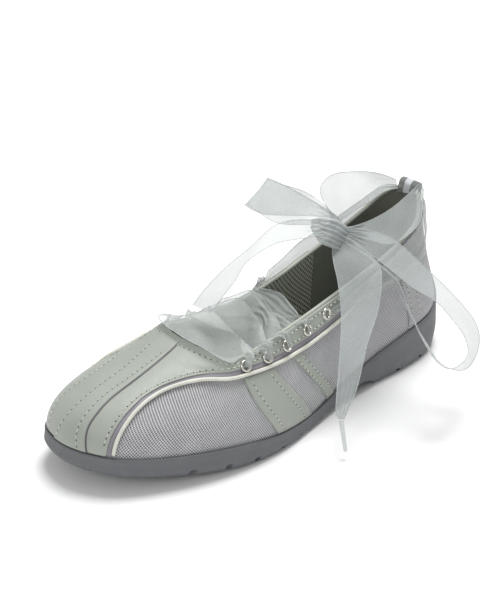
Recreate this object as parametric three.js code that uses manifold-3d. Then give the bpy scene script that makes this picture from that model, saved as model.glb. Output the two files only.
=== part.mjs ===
import * as THREE from 'three';
import { mergeVertices } from 'three/addons/utils/BufferGeometryUtils.js';
import Module from 'manifold-3d';

// Driving sizes, millimetres and degrees. Toe toward -Y, heel +Y, lateral side +X, floor at z = 0
const SOLE_LENGTH = 258;
const BALL_WIDTH = 92.6;
const COLLAR_HEIGHT = 88;
const RIM_HEIGHT = 20;
const RIM_WALL = 2.2;
const RIM_INSET = 3;
const RIM_ROUND = 0.5;
const TREAD_INSET = 3.6;
const TREAD_ROUND = 1.3;
const TOE_SPRING = 11.5;
const HEEL_ROUND = 5;
const WAIST_RISE = 7.2;
const GROOVE_WIDTH = 3.6;
const GROOVE_DEPTH = 3.4;
const GROOVE_TURN = 12;
const UPPER_WALL = 2;
const GAP = 0.3;
const INSOLE_THICK = 3;
const INSOLE_BEVEL = 0.8;
const LEATHER_THICK = 0.9;
const LEATHER_GAP = 0.56;
const COUNTER_THICK = 0.8;
const PIPING_DIAMETER = 2;
const EYELET_DIAMETER = 6.6;
const EYELET_HOLE = 3.4;
const EYELET_HEIGHT = 1.1;
const LOOP_WIDTH = 12;
const LOOP_THICK = 1.2;
const LOOP_RISE = 4.6;
const RIBBON_WIDTH = 25;
const RIBBON_THICK = 0.8;
const LACING_CROWN = 6;
const AGLET_LENGTH = 16;
const AGLET_DIAMETER = 2.4;

// Sections from toe tip to heel, in shares.
// y of half the sole length, lat and med of half the ball width, rim and floor of the rim height
const SOLE_ROWS = rows(['y', 'lat', 'med', 'rim', 'floor'], [
  [-1.0, -0.22, -0.22, 1.08, 0.8],
  [-0.965, 0.15, -0.61, 1.04, 0.77],
  [-0.884, 0.44, -0.83, 0.98, 0.71],
  [-0.752, 0.67, -0.95, 0.9, 0.64],
  [-0.589, 0.857, -0.99, 0.82, 0.56],
  [-0.411, 0.97, -0.985, 0.7, 0.45],
  [-0.217, 0.985, -0.9, 0.52, 0.31],
  [0.0, 0.875, -0.71, 0.4, 0.22],
  [0.217, 0.756, -0.613, 0.6, 0.4],
  [0.434, 0.713, -0.624, 0.89, 0.65],
  [0.636, 0.71, -0.665, 1.13, 0.84],
  [0.806, 0.637, -0.626, 1.27, 0.9],
  [0.922, 0.454, -0.443, 1.5, 0.92],
  [0.98, 0.227, -0.227, 2.2, 0.93],
  [1.0, 0.0, 0.0, 2.36, 0.93],
]);

// Opening edge of the upper, one row per section.
// x of half the ball width, y of half the sole length, z of the collar height, lateral then medial
const TOP_ROWS = rows(['latX', 'latY', 'latZ', 'medX', 'medY', 'medZ'], [
  [-0.02, -0.43, 0.64, -0.02, -0.43, 0.64],
  [0.13, -0.43, 0.638, -0.17, -0.426, 0.64],
  [0.28, -0.422, 0.63, -0.3, -0.415, 0.638],
  [0.43, -0.407, 0.616, -0.41, -0.395, 0.634],
  [0.55, -0.38, 0.602, -0.485, -0.357, 0.622],
  [0.594, -0.318, 0.6, -0.507, -0.287, 0.588],
  [0.605, -0.194, 0.62, -0.486, -0.155, 0.575],
  [0.587, -0.015, 0.652, -0.443, 0.015, 0.577],
  [0.54, 0.194, 0.687, -0.41, 0.217, 0.632],
  [0.518, 0.388, 0.738, -0.41, 0.388, 0.692],
  [0.507, 0.58, 0.806, -0.421, 0.58, 0.758],
  [0.443, 0.752, 0.89, -0.4, 0.752, 0.845],
  [0.3, 0.838, 0.964, -0.29, 0.84, 0.942],
  [0.155, 0.886, 0.993, -0.155, 0.886, 0.987],
  [0.0, 0.902, 1.0, 0.0, 0.902, 1.0],
]);

// Handles of each section's curve: lengths in shares of the collar height, angles in degrees.
// rise and flare leave the sole, drop and slope leave the opening edge
const HANDLE_ROWS = rows(['rise', 'flare', 'drop', 'slope'], [
  [0.3, 6, 0.56, 18],
  [0.3, 6, 0.54, 19],
  [0.29, 8, 0.48, 23],
  [0.27, 9, 0.42, 27],
  [0.24, 9, 0.35, 37],
  [0.22, 9, 0.29, 52],
  [0.22, 8, 0.28, 62],
  [0.24, 6, 0.27, 70],
  [0.25, 5, 0.27, 76],
  [0.25, 5, 0.28, 80],
  [0.25, 6, 0.3, 80],
  [0.23, 8, 0.32, 81],
  [0.2, 8, 0.33, 88],
  [0.18, 8, 0.34, 92],
  [0.17, 8, 0.34, 93],
]);

// Piping line on the side, from the sole at the toe to the collar.
// t counts sections from the toe tip, v climbs from sole (0) to opening (1), topT is where its rung meets the top
const PIPING_ROWS = rows(['t', 'v', 'topT'], [
  [1.65, 0.08, 1.3],
  [1.68, 0.24, 1.4],
  [1.7, 0.38, 1.48],
  [1.7, 0.53, 1.56],
  [1.78, 0.64, 1.68],
  [2.05, 0.73, 2.0],
  [2.7, 0.81, 2.7],
  [3.6, 0.86, 3.6],
  [4.8, 0.865, 4.8],
  [5.7, 0.84, 5.7],
  [6.5, 0.81, 6.5],
  [7.3, 0.79, 7.3],
  [8.1, 0.8, 8.1],
  [8.8, 0.86, 8.8],
  [9.3, 0.93, 9.3],
]);

// The medial piping leaves the sole this many sections farther back, and is level with the lateral one from MEETING on
const MEDIAL_BACK = 1.7;
const MEETING = 8;
const SETTLING = 5;

// Raised strip along the top of the vamp: lateral and medial edge for each share of the climb
const STRIP_ROWS = rows(['v', 'lat', 'med'], [
  [0.08, 0.8, -0.42],
  [0.25, 0.66, -0.32],
  [0.4, 0.62, -0.3],
  [0.55, 0.56, -0.36],
  [0.7, 0.55, -0.46],
  [0.82, 0.48, -0.75],
  [0.92, 0.34, -1.3],
  [0.98, 0.14, -1.95],
]);

// Slanted leather bands on the side panel: t at the sole and at the piping, for the front and back edge
const BANDS = rows(['name', 'lowFront', 'highFront', 'lowBack', 'highBack'], [
  ['band_wide', 5.85, 4.95, 6.95, 6.0],
  ['band_narrow', 7.5, 6.6, 7.75, 6.85],
]);

const FLEX_GROOVES = [-0.71, -0.57, -0.44, -0.3, -0.18];
const HEEL_GROOVES = [0.63, 0.785];

// Side of the sole below its rim: share of the side's height and inset from the outline in millimetres
const SIDE_ROWS = rows(['rise', 'inset'], [[0.38, 0.1]]);
const SIDE_TURN = 0.74;

// Inner face of the sole's cup below the rim: share of the rim's climb and lift off the skin in gaps
const CUP_ROWS = rows(['climb', 'gaps'], [[0.72, 1.5], [0.38, 1.6]]);

const EYELETS = rows(['t', 'v'], [[5.0, 0.93], [5.85, 0.912], [6.5, 0.905], [7.15, 0.915], [7.75, 0.93]]);
const COUNTER_START = 10.05;

// Ribbon along the outside of the collar: lower and upper edge as shares of the climb
const WRAP_ROWS = rows(['t', 'low', 'high'], [
  [8.15, 0.86, 0.95],
  [9.0, 0.79, 0.97],
  [10.0, 0.75, 0.98],
  [11.0, 0.76, 0.98],
  [12.0, 0.84, 0.985],
  [12.9, 0.93, 0.985],
]);

// Underside of the waist from the side: y of half the sole length, z of the waist rise
const WAIST_ROWS = rows(['y', 'z'], [
  [-0.074, -1],
  [-0.062, 0.35],
  [0.2, 0.62],
  [0.34, 1],
  [0.39, 0.75],
  [0.45, 0.2],
  [0.49, -0.1],
  [0.49, -1],
]);

// Free ribbon as pairs of edge points, listed from the knot or the pull loop outward, chosen by eye
const EDGES = ['ax', 'ay', 'az', 'bx', 'by', 'bz'];
const KNOT = new THREE.Vector3(12, 44, 88);
const KNOT_SIZE = new THREE.Vector3(6, 6.5, 6);
const RETURN_LATERAL = rows(EDGES, [
  [6.9, 115.2, 93.2, 8.9, 115.8, 89.9],
  [13, 97, 93, 26, 94, 84],
  [15, 83, 91, 30, 76, 81],
  [16, 67, 90, 29, 62, 81],
  [15, 51.5, 90.5, 19, 50, 86],
]);
const RETURN_MEDIAL = rows(EDGES, [
  [-7, 115, 93.5, -7, 112, 91],
  [-17, 117, 95, -13, 112, 89],
  [-28, 113, 94, -18, 105, 86],
  [-36, 100, 95, -20, 89, 85],
  [-34, 80, 97, -14, 69, 87],
  [-19, 62, 97, -6, 55, 90],
  [4, 48, 92.5, 6, 45, 88],
]);
const LOOP_LEFT = rows(EDGES, [
  [9, 45, 95.5, 10, 40, 94.5],
  [-4, 42, 101, 1, 31, 93],
  [-13, 33, 109, -6, 15, 97],
  [-22, 27, 113, -17, 8, 104],
  [-26, 29, 111, -22, 11, 102],
  [-24, 37, 106, -19, 20, 96],
  [-15, 48, 101, -11, 37, 92],
  [1, 50.5, 95, 4, 46.5, 92.5],
]);
const LOOP_RIGHT = rows(EDGES, [
  [17.5, 48, 91, 18.5, 43, 87.5],
  [30, 62, 87, 39, 50, 77],
  [44, 72, 74, 54, 54, 68],
  [60, 81, 58, 69, 61, 60],
  [73, 84, 45, 83, 63, 50],
  [81, 79, 34, 91, 59, 41],
  [85, 65, 28, 92, 46, 38],
  [80, 51, 34, 90, 36, 44],
  [68, 47, 47, 81, 35, 55],
  [53.5, 50.5, 59, 65.5, 40.5, 65],
  [39.5, 54.5, 71, 47.5, 47.5, 74],
  [18, 50, 83, 19.5, 46, 81],
]);
const FRONT_STRAND = rows(EDGES, [
  [9, 38, 94, 13, 37, 90],
  [3, 24, 99, 12, 13, 94],
  [0, 6, 100, 11, -6, 96],
  [0, -12, 92, 11, -23, 93],
  [-2, -26, 85, 12, -33, 86],
  [-4, -37, 77, 10, -41, 78],
  [-6, -44, 70, 7, -45, 71],
]);
const TAIL = rows(EDGES, [
  [12, 40, 82, 17, 41, 82],
  [20, 32, 78, 30, 42.5, 78.5],
  [29, 26, 71, 42, 43, 75],
  [39, 18, 60, 51, 33, 62],
  [49, 7, 48, 57, 19, 50],
  [58, -4, 34, 64, 4, 33],
  [64, -11, 25, 67, -5, 26],
  [66.5, -11.6, 21, 68, -9.6, 21],
]);
const AGLET_TOP = new THREE.Vector3(67.4, -10.8, 20);
const AGLET_LEAN = new THREE.Vector3(0.28, -0.06, -0.96);

const SECTIONS = SOLE_ROWS.length - 1;
const TURN = 2 * SECTIONS;
const STEPS = 3;
const RING = TURN * STEPS;
const VAMP_STEPS = 50;
const TOE_SHARES = { lateral: 0.2, medial: 0.4 };
const EDGE_SHARE = 0.985;
const RIBBON_BOW = 0.08;
const LACING_LIP = 2.4;

// Shares of each section's curve where the faces of the upper meet, outside and inside
const CLIMB = [0, 0.1, 0.22, 0.36, 0.52, 0.68, 0.84, 1];
const CLIMB_INSIDE = [0, 0.3, 0.65, 1];

const wasm = await Module();
wasm.setup();

// Table helper: each row becomes an object with the named columns
function rows(names, values) {
  return values.map((row) => Object.fromEntries(names.map((name, k) => [name, row[k]])));
}

// Closed list of section values: lateral side from toe to heel, then the medial side back to the toe
function around(lateral, medial) {
  const back = medial.slice(1, -1).reverse();
  return [...lateral, ...back];
}

const halfLength = SOLE_LENGTH / 2;
const halfBall = BALL_WIDTH / 2;
const LOOP = {
  x: around(SOLE_ROWS.map((r) => r.lat * halfBall), SOLE_ROWS.map((r) => r.med * halfBall)),
  y: around(SOLE_ROWS.map((r) => r.y * halfLength), SOLE_ROWS.map((r) => r.y * halfLength)),
  rim: around(SOLE_ROWS.map((r) => r.rim * RIM_HEIGHT), SOLE_ROWS.map((r) => r.rim * RIM_HEIGHT)),
  floor: around(SOLE_ROWS.map((r) => r.floor * RIM_HEIGHT), SOLE_ROWS.map((r) => r.floor * RIM_HEIGHT)),
  topX: around(TOP_ROWS.map((r) => r.latX * halfBall), TOP_ROWS.map((r) => r.medX * halfBall)),
  topY: around(TOP_ROWS.map((r) => r.latY * halfLength), TOP_ROWS.map((r) => r.medY * halfLength)),
  topZ: around(TOP_ROWS.map((r) => r.latZ * COLLAR_HEIGHT), TOP_ROWS.map((r) => r.medZ * COLLAR_HEIGHT)),
  rise: around(HANDLE_ROWS.map((r) => r.rise * COLLAR_HEIGHT), HANDLE_ROWS.map((r) => r.rise * COLLAR_HEIGHT)),
  drop: around(HANDLE_ROWS.map((r) => r.drop * COLLAR_HEIGHT), HANDLE_ROWS.map((r) => r.drop * COLLAR_HEIGHT)),
  flare: around(HANDLE_ROWS.map((r) => r.flare), HANDLE_ROWS.map((r) => r.flare)),
  slope: around(HANDLE_ROWS.map((r) => r.slope), HANDLE_ROWS.map((r) => r.slope)),
};

// Smooth curve through a closed list of values
function smooth(list, t) {
  const n = list.length;
  const i = Math.floor(t);
  const f = t - i;
  const [a, b, c, d] = [-1, 0, 1, 2].map((k) => list[(((i + k) % n) + n) % n]);
  return b + 0.5 * f * (c - a + f * (2 * a - 5 * b + 4 * c - d + f * (3 * (b - c) + d - a)));
}

// Smooth curve through one column of an open table, s counts its rows
function along(table, column, s) {
  const last = table.length - 1;
  const i = Math.min(Math.max(Math.floor(s), 0), last - 1);
  const f = s - i;
  const [a, b, c, d] = [-1, 0, 1, 2].map((k) => table[Math.min(Math.max(i + k, 0), last)][column]);
  return b + 0.5 * f * (c - a + f * (2 * a - 5 * b + 4 * c - d + f * (3 * (b - c) + d - a)));
}

// Value in a table whose rows climb in v
function byShare(table, column, v) {
  const last = table.length - 1;
  const k = table.findIndex((row) => row.v > v);
  const i = k < 0 ? last - 1 : Math.max(k - 1, 0);
  const f = (v - table[i].v) / (table[i + 1].v - table[i].v);
  return along(table, column, i + Math.min(Math.max(f, 0), 1));
}

const mix = THREE.MathUtils.lerp;
const radians = THREE.MathUtils.degToRad;
const UP = new THREE.Vector3(0, 0, 1);

// Plan outline of the sole, moved inward by inset
function outline(t, inset, z) {
  const step = 0.05;
  const dx = smooth(LOOP.x, t + step) - smooth(LOOP.x, t - step);
  const dy = smooth(LOOP.y, t + step) - smooth(LOOP.y, t - step);
  const outward = new THREE.Vector3(dy, -dx, 0).normalize();
  return new THREE.Vector3(smooth(LOOP.x, t), smooth(LOOP.y, t), z).addScaledVector(outward, -inset);
}

// Point on the outer skin of the upper: v runs from the sole (0) to the opening edge (1)
function skinPoint(t, v) {
  const foot = outline(t, RIM_INSET, smooth(LOOP.floor, t) + GAP);
  const top = new THREE.Vector3(smooth(LOOP.topX, t), smooth(LOOP.topY, t), smooth(LOOP.topZ, t));
  const inward = new THREE.Vector3(top.x - foot.x, top.y - foot.y, 0).normalize();
  const flare = radians(smooth(LOOP.flare, t));
  const slope = radians(smooth(LOOP.slope, t));
  const low = foot.clone().addScaledVector(UP, smooth(LOOP.rise, t) * Math.cos(flare));
  low.addScaledVector(inward, -smooth(LOOP.rise, t) * Math.sin(flare));
  const high = top.clone().addScaledVector(UP, -smooth(LOOP.drop, t) * Math.sin(slope));
  high.addScaledVector(inward, -smooth(LOOP.drop, t) * Math.cos(slope));
  return new THREE.CubicBezierCurve3(foot, low, high, top).getPoint(v);
}

// Outward direction of the skin
function skinNormal(t, v) {
  const step = 0.02;
  const across = skinPoint(t + step, v).sub(skinPoint(t - step, v));
  const climb = skinPoint(t, v + step).sub(skinPoint(t, Math.max(v - step, 0)));
  return across.cross(climb).normalize();
}

// Skin moved outward by lift, inward where lift is negative
function skin(t, v, lift) {
  return skinPoint(t, v).addScaledVector(skinNormal(t, v), lift);
}

// Share v where the skin reaches a height
function skinShare(t, z) {
  let [low, high] = [0, 0.7];
  for (let k = 0; k < 24; k += 1) {
    const mid = (low + high) / 2;
    if (skinPoint(t, mid).z < z) low = mid;
    else high = mid;
  }
  return (low + high) / 2;
}

// Share just above the rim of the sole, where what lies on the skin begins
function rimShare(t) {
  return skinShare(t, smooth(LOOP.rim, t) + GAP + 0.2);
}

// Height of the tread: flat under ball and heel, sprung at the toe, round at the back
function treadHeight(y) {
  const ball = -0.32 * halfLength;
  const back = 0.86 * halfLength;
  if (y < ball) return TOE_SPRING * ((ball - y) / (ball + halfLength)) ** 1.25;
  if (y > back) return HEEL_ROUND * ((y - back) / (halfLength - back)) ** 2;
  return 0;
}

// Closed mesh gathered from grids of points
function closedMesh(grids) {
  const places = [];
  const faces = [];
  for (const grid of grids) {
    const start = places.length / 3;
    const width = grid[0].length;
    for (const line of grid) for (const p of line) places.push(p.x, p.y, p.z);
    for (let i = 0; i + 1 < grid.length; i += 1) {
      for (let j = 0; j + 1 < width; j += 1) {
        const a = start + i * width + j;
        faces.push(a, a + width, a + 1, a + 1, a + width, a + width + 1);
      }
    }
  }
  const raw = new THREE.BufferGeometry();
  raw.setAttribute('position', new THREE.Float32BufferAttribute(places, 3));
  raw.setIndex(faces);
  return tidy(raw);
}

// Merged vertices, no collapsed faces, faces turned outward
function tidy(raw) {
  raw.deleteAttribute('normal');
  raw.deleteAttribute('uv');
  const geometry = mergeVertices(raw, 1e-3);
  const index = geometry.getIndex().array;
  const kept = [];
  for (let k = 0; k < index.length; k += 3) {
    const [a, b, c] = [index[k], index[k + 1], index[k + 2]];
    if (a !== b && b !== c && c !== a) kept.push(a, b, c);
  }
  const position = geometry.getAttribute('position');
  const corner = (k) => new THREE.Vector3().fromBufferAttribute(position, kept[k]);
  let volume = 0;
  for (let k = 0; k < kept.length; k += 3) volume += corner(k).dot(corner(k + 1).cross(corner(k + 2)));
  geometry.setIndex(volume < 0 ? kept.reverse() : kept);
  return geometry;
}

// Mesh to solid and back, for joins and cuts
function solid(geometry) {
  const vertProperties = new Float32Array(geometry.getAttribute('position').array);
  const triVerts = new Uint32Array(geometry.getIndex().array);
  return new wasm.Manifold(new wasm.Mesh({ numProp: 3, vertProperties, triVerts }));
}

function unsolid(manifold) {
  const mesh = manifold.getMesh();
  const raw = new THREE.BufferGeometry();
  raw.setAttribute('position', new THREE.BufferAttribute(new Float32Array(mesh.vertProperties), 3));
  raw.setIndex(new THREE.BufferAttribute(new Uint32Array(mesh.triVerts), 1));
  return tidy(raw);
}

// Closed sheet between two grids of the same size
function thicken(outer, inner) {
  const end = outer.length - 1;
  const edge = (a, b) => a.map((p, k) => [p, b[k]]);
  const first = (grid) => grid.map((line) => line[0]);
  const last = (grid) => grid.map((line) => line[line.length - 1]);
  return closedMesh([
    outer,
    inner.map((line) => [...line].reverse()),
    edge(first(inner), first(outer)),
    edge(last(outer), last(inner)),
    edge(outer[0], inner[0]),
    edge(inner[end], outer[end]),
  ]);
}

// Sheet of even thickness lying on the skin: place maps two shares to t and v
function overlay(place, stepsA, stepsB, lift, thick) {
  const layer = (height) => {
    const grid = [];
    for (let i = 0; i <= stepsA; i += 1) {
      const line = [];
      for (let j = 0; j <= stepsB; j += 1) {
        const [t, v] = place(i / stepsA, j / stepsB);
        line.push(skin(t, v, height));
      }
      grid.push(line);
    }
    return grid;
  };
  return thicken(layer(lift + thick), layer(lift));
}

// Sheet of even thickness through a free grid of points
function sheet(grid, thick) {
  const [rowsEnd, lineEnd] = [grid.length - 1, grid[0].length - 1];
  const side = (sign) => grid.map((line, i) => line.map((p, j) => {
    const lengthwise = grid[Math.min(i + 1, rowsEnd)][j].clone().sub(grid[Math.max(i - 1, 0)][j]);
    const across = line[Math.min(j + 1, lineEnd)].clone().sub(line[Math.max(j - 1, 0)]);
    return p.clone().addScaledVector(lengthwise.cross(across).normalize(), sign * thick / 2);
  }));
  return thicken(side(1), side(-1));
}

// Ribbon between two edge curves, bowed a little across its width
function ribbonGeometry(table, stepsPerRow) {
  const steps = (table.length - 1) * stepsPerRow;
  const grid = [];
  for (let i = 0; i <= steps; i += 1) {
    const s = i / stepsPerRow;
    const [ax, ay, az, bx, by, bz] = EDGES.map((column) => along(table, column, s));
    const a = new THREE.Vector3(ax, ay, az);
    const b = new THREE.Vector3(bx, by, bz);
    const middle = a.clone().lerp(b, 0.5).addScaledVector(UP, RIBBON_BOW * a.distanceTo(b));
    grid.push([a, middle, b]);
  }
  return sheet(grid, RIBBON_THICK);
}

// Round cord along a list of points, closed at both ends
function cordGeometry(points, diameter, sides) {
  const circle = new THREE.Shape();
  circle.absarc(0, 0, diameter / 2, 0, 2 * Math.PI, false);
  const path = new THREE.CatmullRomCurve3(points);
  const steps = Math.round(0.7 * points.length);
  return tidy(new THREE.ExtrudeGeometry(circle, { steps, curveSegments: sides, bevelEnabled: false, extrudePath: path }));
}

// Rungs across a ring from the lateral to the medial side
function ladder(ring) {
  const grid = [];
  for (let i = 0; i <= RING / 2; i += 1) {
    grid.push([ring[i].clone(), ring[(RING - i) % RING].clone()]);
  }
  return grid;
}

const turned = (grid) => grid.map((line) => [...line].reverse());
const column = (grid, k) => grid.slice(0, RING).map((line) => line[k]);

// Grid around the shoe from a list of profile points at each station
function hoop(profile) {
  const grid = [];
  for (let i = 0; i <= RING; i += 1) grid.push(profile((i % RING) / STEPS));
  return grid;
}

// Side of the sole from the tread up over the rim and down into the cup
function soleProfile(t) {
  const rim = smooth(LOOP.rim, t);
  const edge = outline(t, TREAD_INSET, 0);
  const base = treadHeight(edge.y);
  const wall = rim - base;
  const vRim = skinShare(t, rim);
  return [
    edge.setZ(base),
    outline(t, TREAD_ROUND, base + TREAD_ROUND),
    ...SIDE_ROWS.map((row) => outline(t, row.inset, base + row.rise * wall)),
    skin(t, skinShare(t, base + SIDE_TURN * wall), RIM_WALL),
    skin(t, vRim, RIM_WALL).setZ(rim - RIM_ROUND),
    skin(t, vRim, RIM_WALL / 2).setZ(rim),
    skin(t, vRim, GAP).setZ(rim - RIM_ROUND / 2),
    ...CUP_ROWS.map((row) => skin(t, row.climb * vRim, row.gaps * GAP)),
    skin(t, 0, GAP).setZ(smooth(LOOP.floor, t)),
  ];
}

// Bar across the tread, cut out as a flex groove
function grooveBar(share) {
  const geometry = new THREE.BoxGeometry(2 * BALL_WIDTH, GROOVE_WIDTH, 2 * GROOVE_DEPTH);
  geometry.rotateZ(radians(share < 0 ? GROOVE_TURN : -GROOVE_TURN));
  geometry.translate(0, share * halfLength, treadHeight(share * halfLength));
  return tidy(geometry);
}

// Raised waist between the forefoot tread and the heel, drawn from the side
function waistCutter() {
  const side = new THREE.Shape();
  WAIST_ROWS.forEach((row, k) => {
    const place = [row.y * halfLength, row.z * WAIST_RISE];
    if (k === 0) side.moveTo(...place);
    else side.lineTo(...place);
  });
  const geometry = new THREE.ExtrudeGeometry(side, { depth: 2 * BALL_WIDTH, bevelEnabled: false });
  geometry.rotateX(Math.PI / 2);
  geometry.rotateZ(Math.PI / 2);
  geometry.translate(-BALL_WIDTH, 0, 0);
  return tidy(geometry);
}

function soleGeometry() {
  const side = hoop(soleProfile);
  const last = side[0].length - 1;
  const tread = turned(ladder(column(side, 0)));
  const floor = ladder(column(side, last));
  let body = solid(closedMesh([side, tread, floor]));
  for (const cutter of [waistCutter(), ...FLEX_GROOVES.map(grooveBar), ...HEEL_GROOVES.map(grooveBar)]) {
    body = body.subtract(solid(cutter));
  }
  return unsolid(body);
}

// Footbed lying in the cup inside the upper
function insoleGeometry() {
  const inset = RIM_INSET + UPPER_WALL + 2.4 * GAP;
  const profile = (t) => {
    const z = smooth(LOOP.floor, t) + GAP;
    return [outline(t, inset, z), outline(t, inset + INSOLE_BEVEL, z + INSOLE_THICK)];
  };
  const side = hoop(profile);
  const low = turned(ladder(column(side, 0)));
  const high = ladder(column(side, 1));
  return closedMesh([side, low, high]);
}

// Hollow wall of the upper, open at the collar and underneath
function upperGeometry() {
  const profile = (t) => {
    const outer = CLIMB.map((v) => skin(t, v, 0));
    const inner = CLIMB_INSIDE.map((v) => skin(t, v, -UPPER_WALL)).reverse();
    inner[inner.length - 1].setZ(outer[0].z);
    return [...outer, ...inner, outer[0].clone()];
  };
  return cutEyelets(closedMesh([hoop(profile)]));
}

const SIDES = [
  { name: 'lateral', at: (t) => t, back: 0 },
  { name: 'medial', at: (t) => TURN - t, back: MEDIAL_BACK },
];

// Value on the piping line of one side at row s
function piping(side, name, s) {
  const back = name === 'v' ? 0 : side.back * Math.min(Math.max((MEETING - s) / SETTLING, 0), 1);
  return along(PIPING_ROWS, name, s) + back;
}

// Turns +Z of a geometry to the skin's outward direction at a place
function onSkin(geometry, t, v, lift) {
  const turn = new THREE.Quaternion().setFromUnitVectors(UP, skinNormal(t, v));
  geometry.applyQuaternion(turn);
  const p = skin(t, v, lift);
  geometry.translate(p.x, p.y, p.z);
  return geometry;
}

// Lace holes through whatever lies on the eyestays
function cutEyelets(geometry) {
  let body = solid(geometry);
  for (const side of SIDES) {
    for (const { t, v } of EYELETS) {
      const drill = new THREE.CylinderGeometry(EYELET_HOLE / 2, EYELET_HOLE / 2, 12, 6);
      drill.rotateX(Math.PI / 2);
      body = body.subtract(solid(tidy(onSkin(drill, side.at(t), v, 0))));
    }
  }
  return unsolid(body);
}

// Place beside the piping line, moved by a distance in millimetres toward the vamp
function besidePiping(side, s, distance) {
  const step = 0.05;
  const [t, v] = ['t', 'v'].map((name) => piping(side, name, s));
  const [dt, dv] = ['t', 'v'].map((name) => piping(side, name, s + step) - piping(side, name, s - step));
  const reachT = skinPoint(t + step, v).distanceTo(skinPoint(t - step, v)) / (2 * step);
  const reachV = skinPoint(t, v + step).distanceTo(skinPoint(t, v - step)) / (2 * step);
  const run = Math.hypot(dt * reachT, dv * reachV);
  return [t - (distance * dv * reachV) / run / reachT, v + (distance * dt * reachT) / run / reachV];
}

// Leather vamp with both eyestays: from the piping line to the opening edge
function vampGeometry() {
  const last = PIPING_ROWS.length - 1;
  const clear = PIPING_DIAMETER / 2 + 1.8 * GAP;
  const place = (a, rung) => {
    const b = rung ** 1.3;
    const [side, turn] = a < 0.5 ? [SIDES[1], -1] : [SIDES[0], 1];
    const toeShare = side.back ? TOE_SHARES.medial : TOE_SHARES.lateral;
    const run = Math.abs(2 * a - 1);
    if (run < toeShare) {
      const t = (besidePiping(side, 0, clear)[0] * run) / toeShare;
      const topT = (piping(side, 'topT', 0) * run) / toeShare;
      return [turn * mix(t, topT, b), mix(rimShare(turn * t), EDGE_SHARE, b)];
    }
    const s = ((run - toeShare) / (1 - toeShare)) * last;
    const [t, v] = besidePiping(side, s, clear);
    const topT = Math.min(piping(side, 'topT', s), t);
    return [turn * mix(t, topT, b), mix(Math.max(v, rimShare(turn * t)), EDGE_SHARE, b)];
  };
  return cutEyelets(overlay(place, VAMP_STEPS, 6, LEATHER_GAP, LEATHER_THICK));
}

// Raised strip over the middle of the vamp
function stripGeometry() {
  const place = (a, b) => {
    const v = mix(STRIP_ROWS[0].v, STRIP_ROWS[STRIP_ROWS.length - 1].v, b);
    const t = mix(byShare(STRIP_ROWS, 'med', v), byShare(STRIP_ROWS, 'lat', v), a);
    return [t, Math.max(v, rimShare(t))];
  };
  return overlay(place, 3, 12, LEATHER_GAP + LEATHER_THICK + GAP, LEATHER_THICK);
}

// Place on the piping line of one side at row s
function pipingPlace(side, s, lift) {
  const t = side.at(piping(side, 't', s));
  const v = Math.max(piping(side, 'v', s), rimShare(t) + 0.02);
  return skin(t, v, lift);
}

function pipingGeometry(side) {
  const last = PIPING_ROWS.length - 1;
  const points = [];
  for (let k = 0; k <= 2 * last; k += 1) points.push(pipingPlace(side, k / 2, GAP + 0.2 + PIPING_DIAMETER / 2));
  return cordGeometry(points, PIPING_DIAMETER, 3);
}

// Leather band from the sole rim up to the piping
function bandGeometry(band, side) {
  const place = (a, b) => {
    const [low, high] = [mix(band.lowFront, band.lowBack, a), mix(band.highFront, band.highBack, a)];
    const t = mix(low, high, b);
    return [side.at(t), mix(rimShare(side.at(t)), pipingShareAt(side, t) - 0.035, b)];
  };
  return overlay(place, band.name === 'band_wide' ? 4 : 1, 6, LEATHER_GAP, LEATHER_THICK);
}

// Share of the piping line above section t, on its long run along the side
function pipingShareAt(side, t) {
  const step = 0.1;
  let s = 0;
  while (piping(side, 't', s + step) < t) s += step;
  const [from, to] = [piping(side, 't', s), piping(side, 't', s + step)];
  return along(PIPING_ROWS, 'v', s + (step * (t - from)) / (to - from));
}

// Counter wrapped around the heel
function counterGeometry() {
  const place = (a, b) => {
    const t = mix(COUNTER_START, TURN - COUNTER_START, a);
    return [t, mix(rimShare(t), 0.93, b)];
  };
  return overlay(place, 16, 4, LEATHER_GAP, COUNTER_THICK);
}

// Metal ring with a turned profile, lying on the eyestay
function eyeletGeometry(side, { t, v }) {
  const [inner, outer] = [EYELET_HOLE / 2, EYELET_DIAMETER / 2];
  const middle = (inner + outer) / 2;
  const profile = [[inner, 0], [outer, 0], [middle + 0.2, EYELET_HEIGHT], [inner, 0.7 * EYELET_HEIGHT], [inner, 0]];
  const ring = new THREE.LatheGeometry(profile.map(([x, y]) => new THREE.Vector2(x, y)), 8);
  ring.rotateX(Math.PI / 2);
  return tidy(onSkin(ring, side.at(t), v, LEATHER_GAP + LEATHER_THICK + GAP));
}

// Webbing loop over the back of the collar, open below its arch for the ribbon
function pullLoopGeometry() {
  const half = LOOP_THICK / 2;
  const outside = LEATHER_GAP + COUNTER_THICK + GAP + half;
  const inside = -UPPER_WALL - 2 * GAP - half;
  const span = LOOP_WIDTH / 2;
  const across = [-1, -0.33, 0.33, 1];
  const legs = (v, lift) => {
    const reach = skin(SECTIONS - 1, v, lift).x;
    return across.map((share) => skin(SECTIONS - (share * span) / reach, v, lift));
  };
  const arch = (angle) => {
    const [a, b] = [skin(SECTIONS, 1, outside), skin(SECTIONS, 1, inside)];
    const radius = (a.y - b.y) / 2;
    const y = (a.y + b.y) / 2 + radius * Math.cos(angle);
    const z = COLLAR_HEIGHT + LOOP_RISE - radius + radius * Math.sin(angle);
    return across.map((share) => new THREE.Vector3(share * span, y, z));
  };
  const grid = [legs(0.84, outside), legs(0.92, outside), legs(1, outside)];
  for (let k = 0; k <= 6; k += 1) grid.push(arch((Math.PI * k) / 6));
  grid.push(legs(1, inside), legs(0.94, inside));
  return sheet(grid, LOOP_THICK);
}

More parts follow.
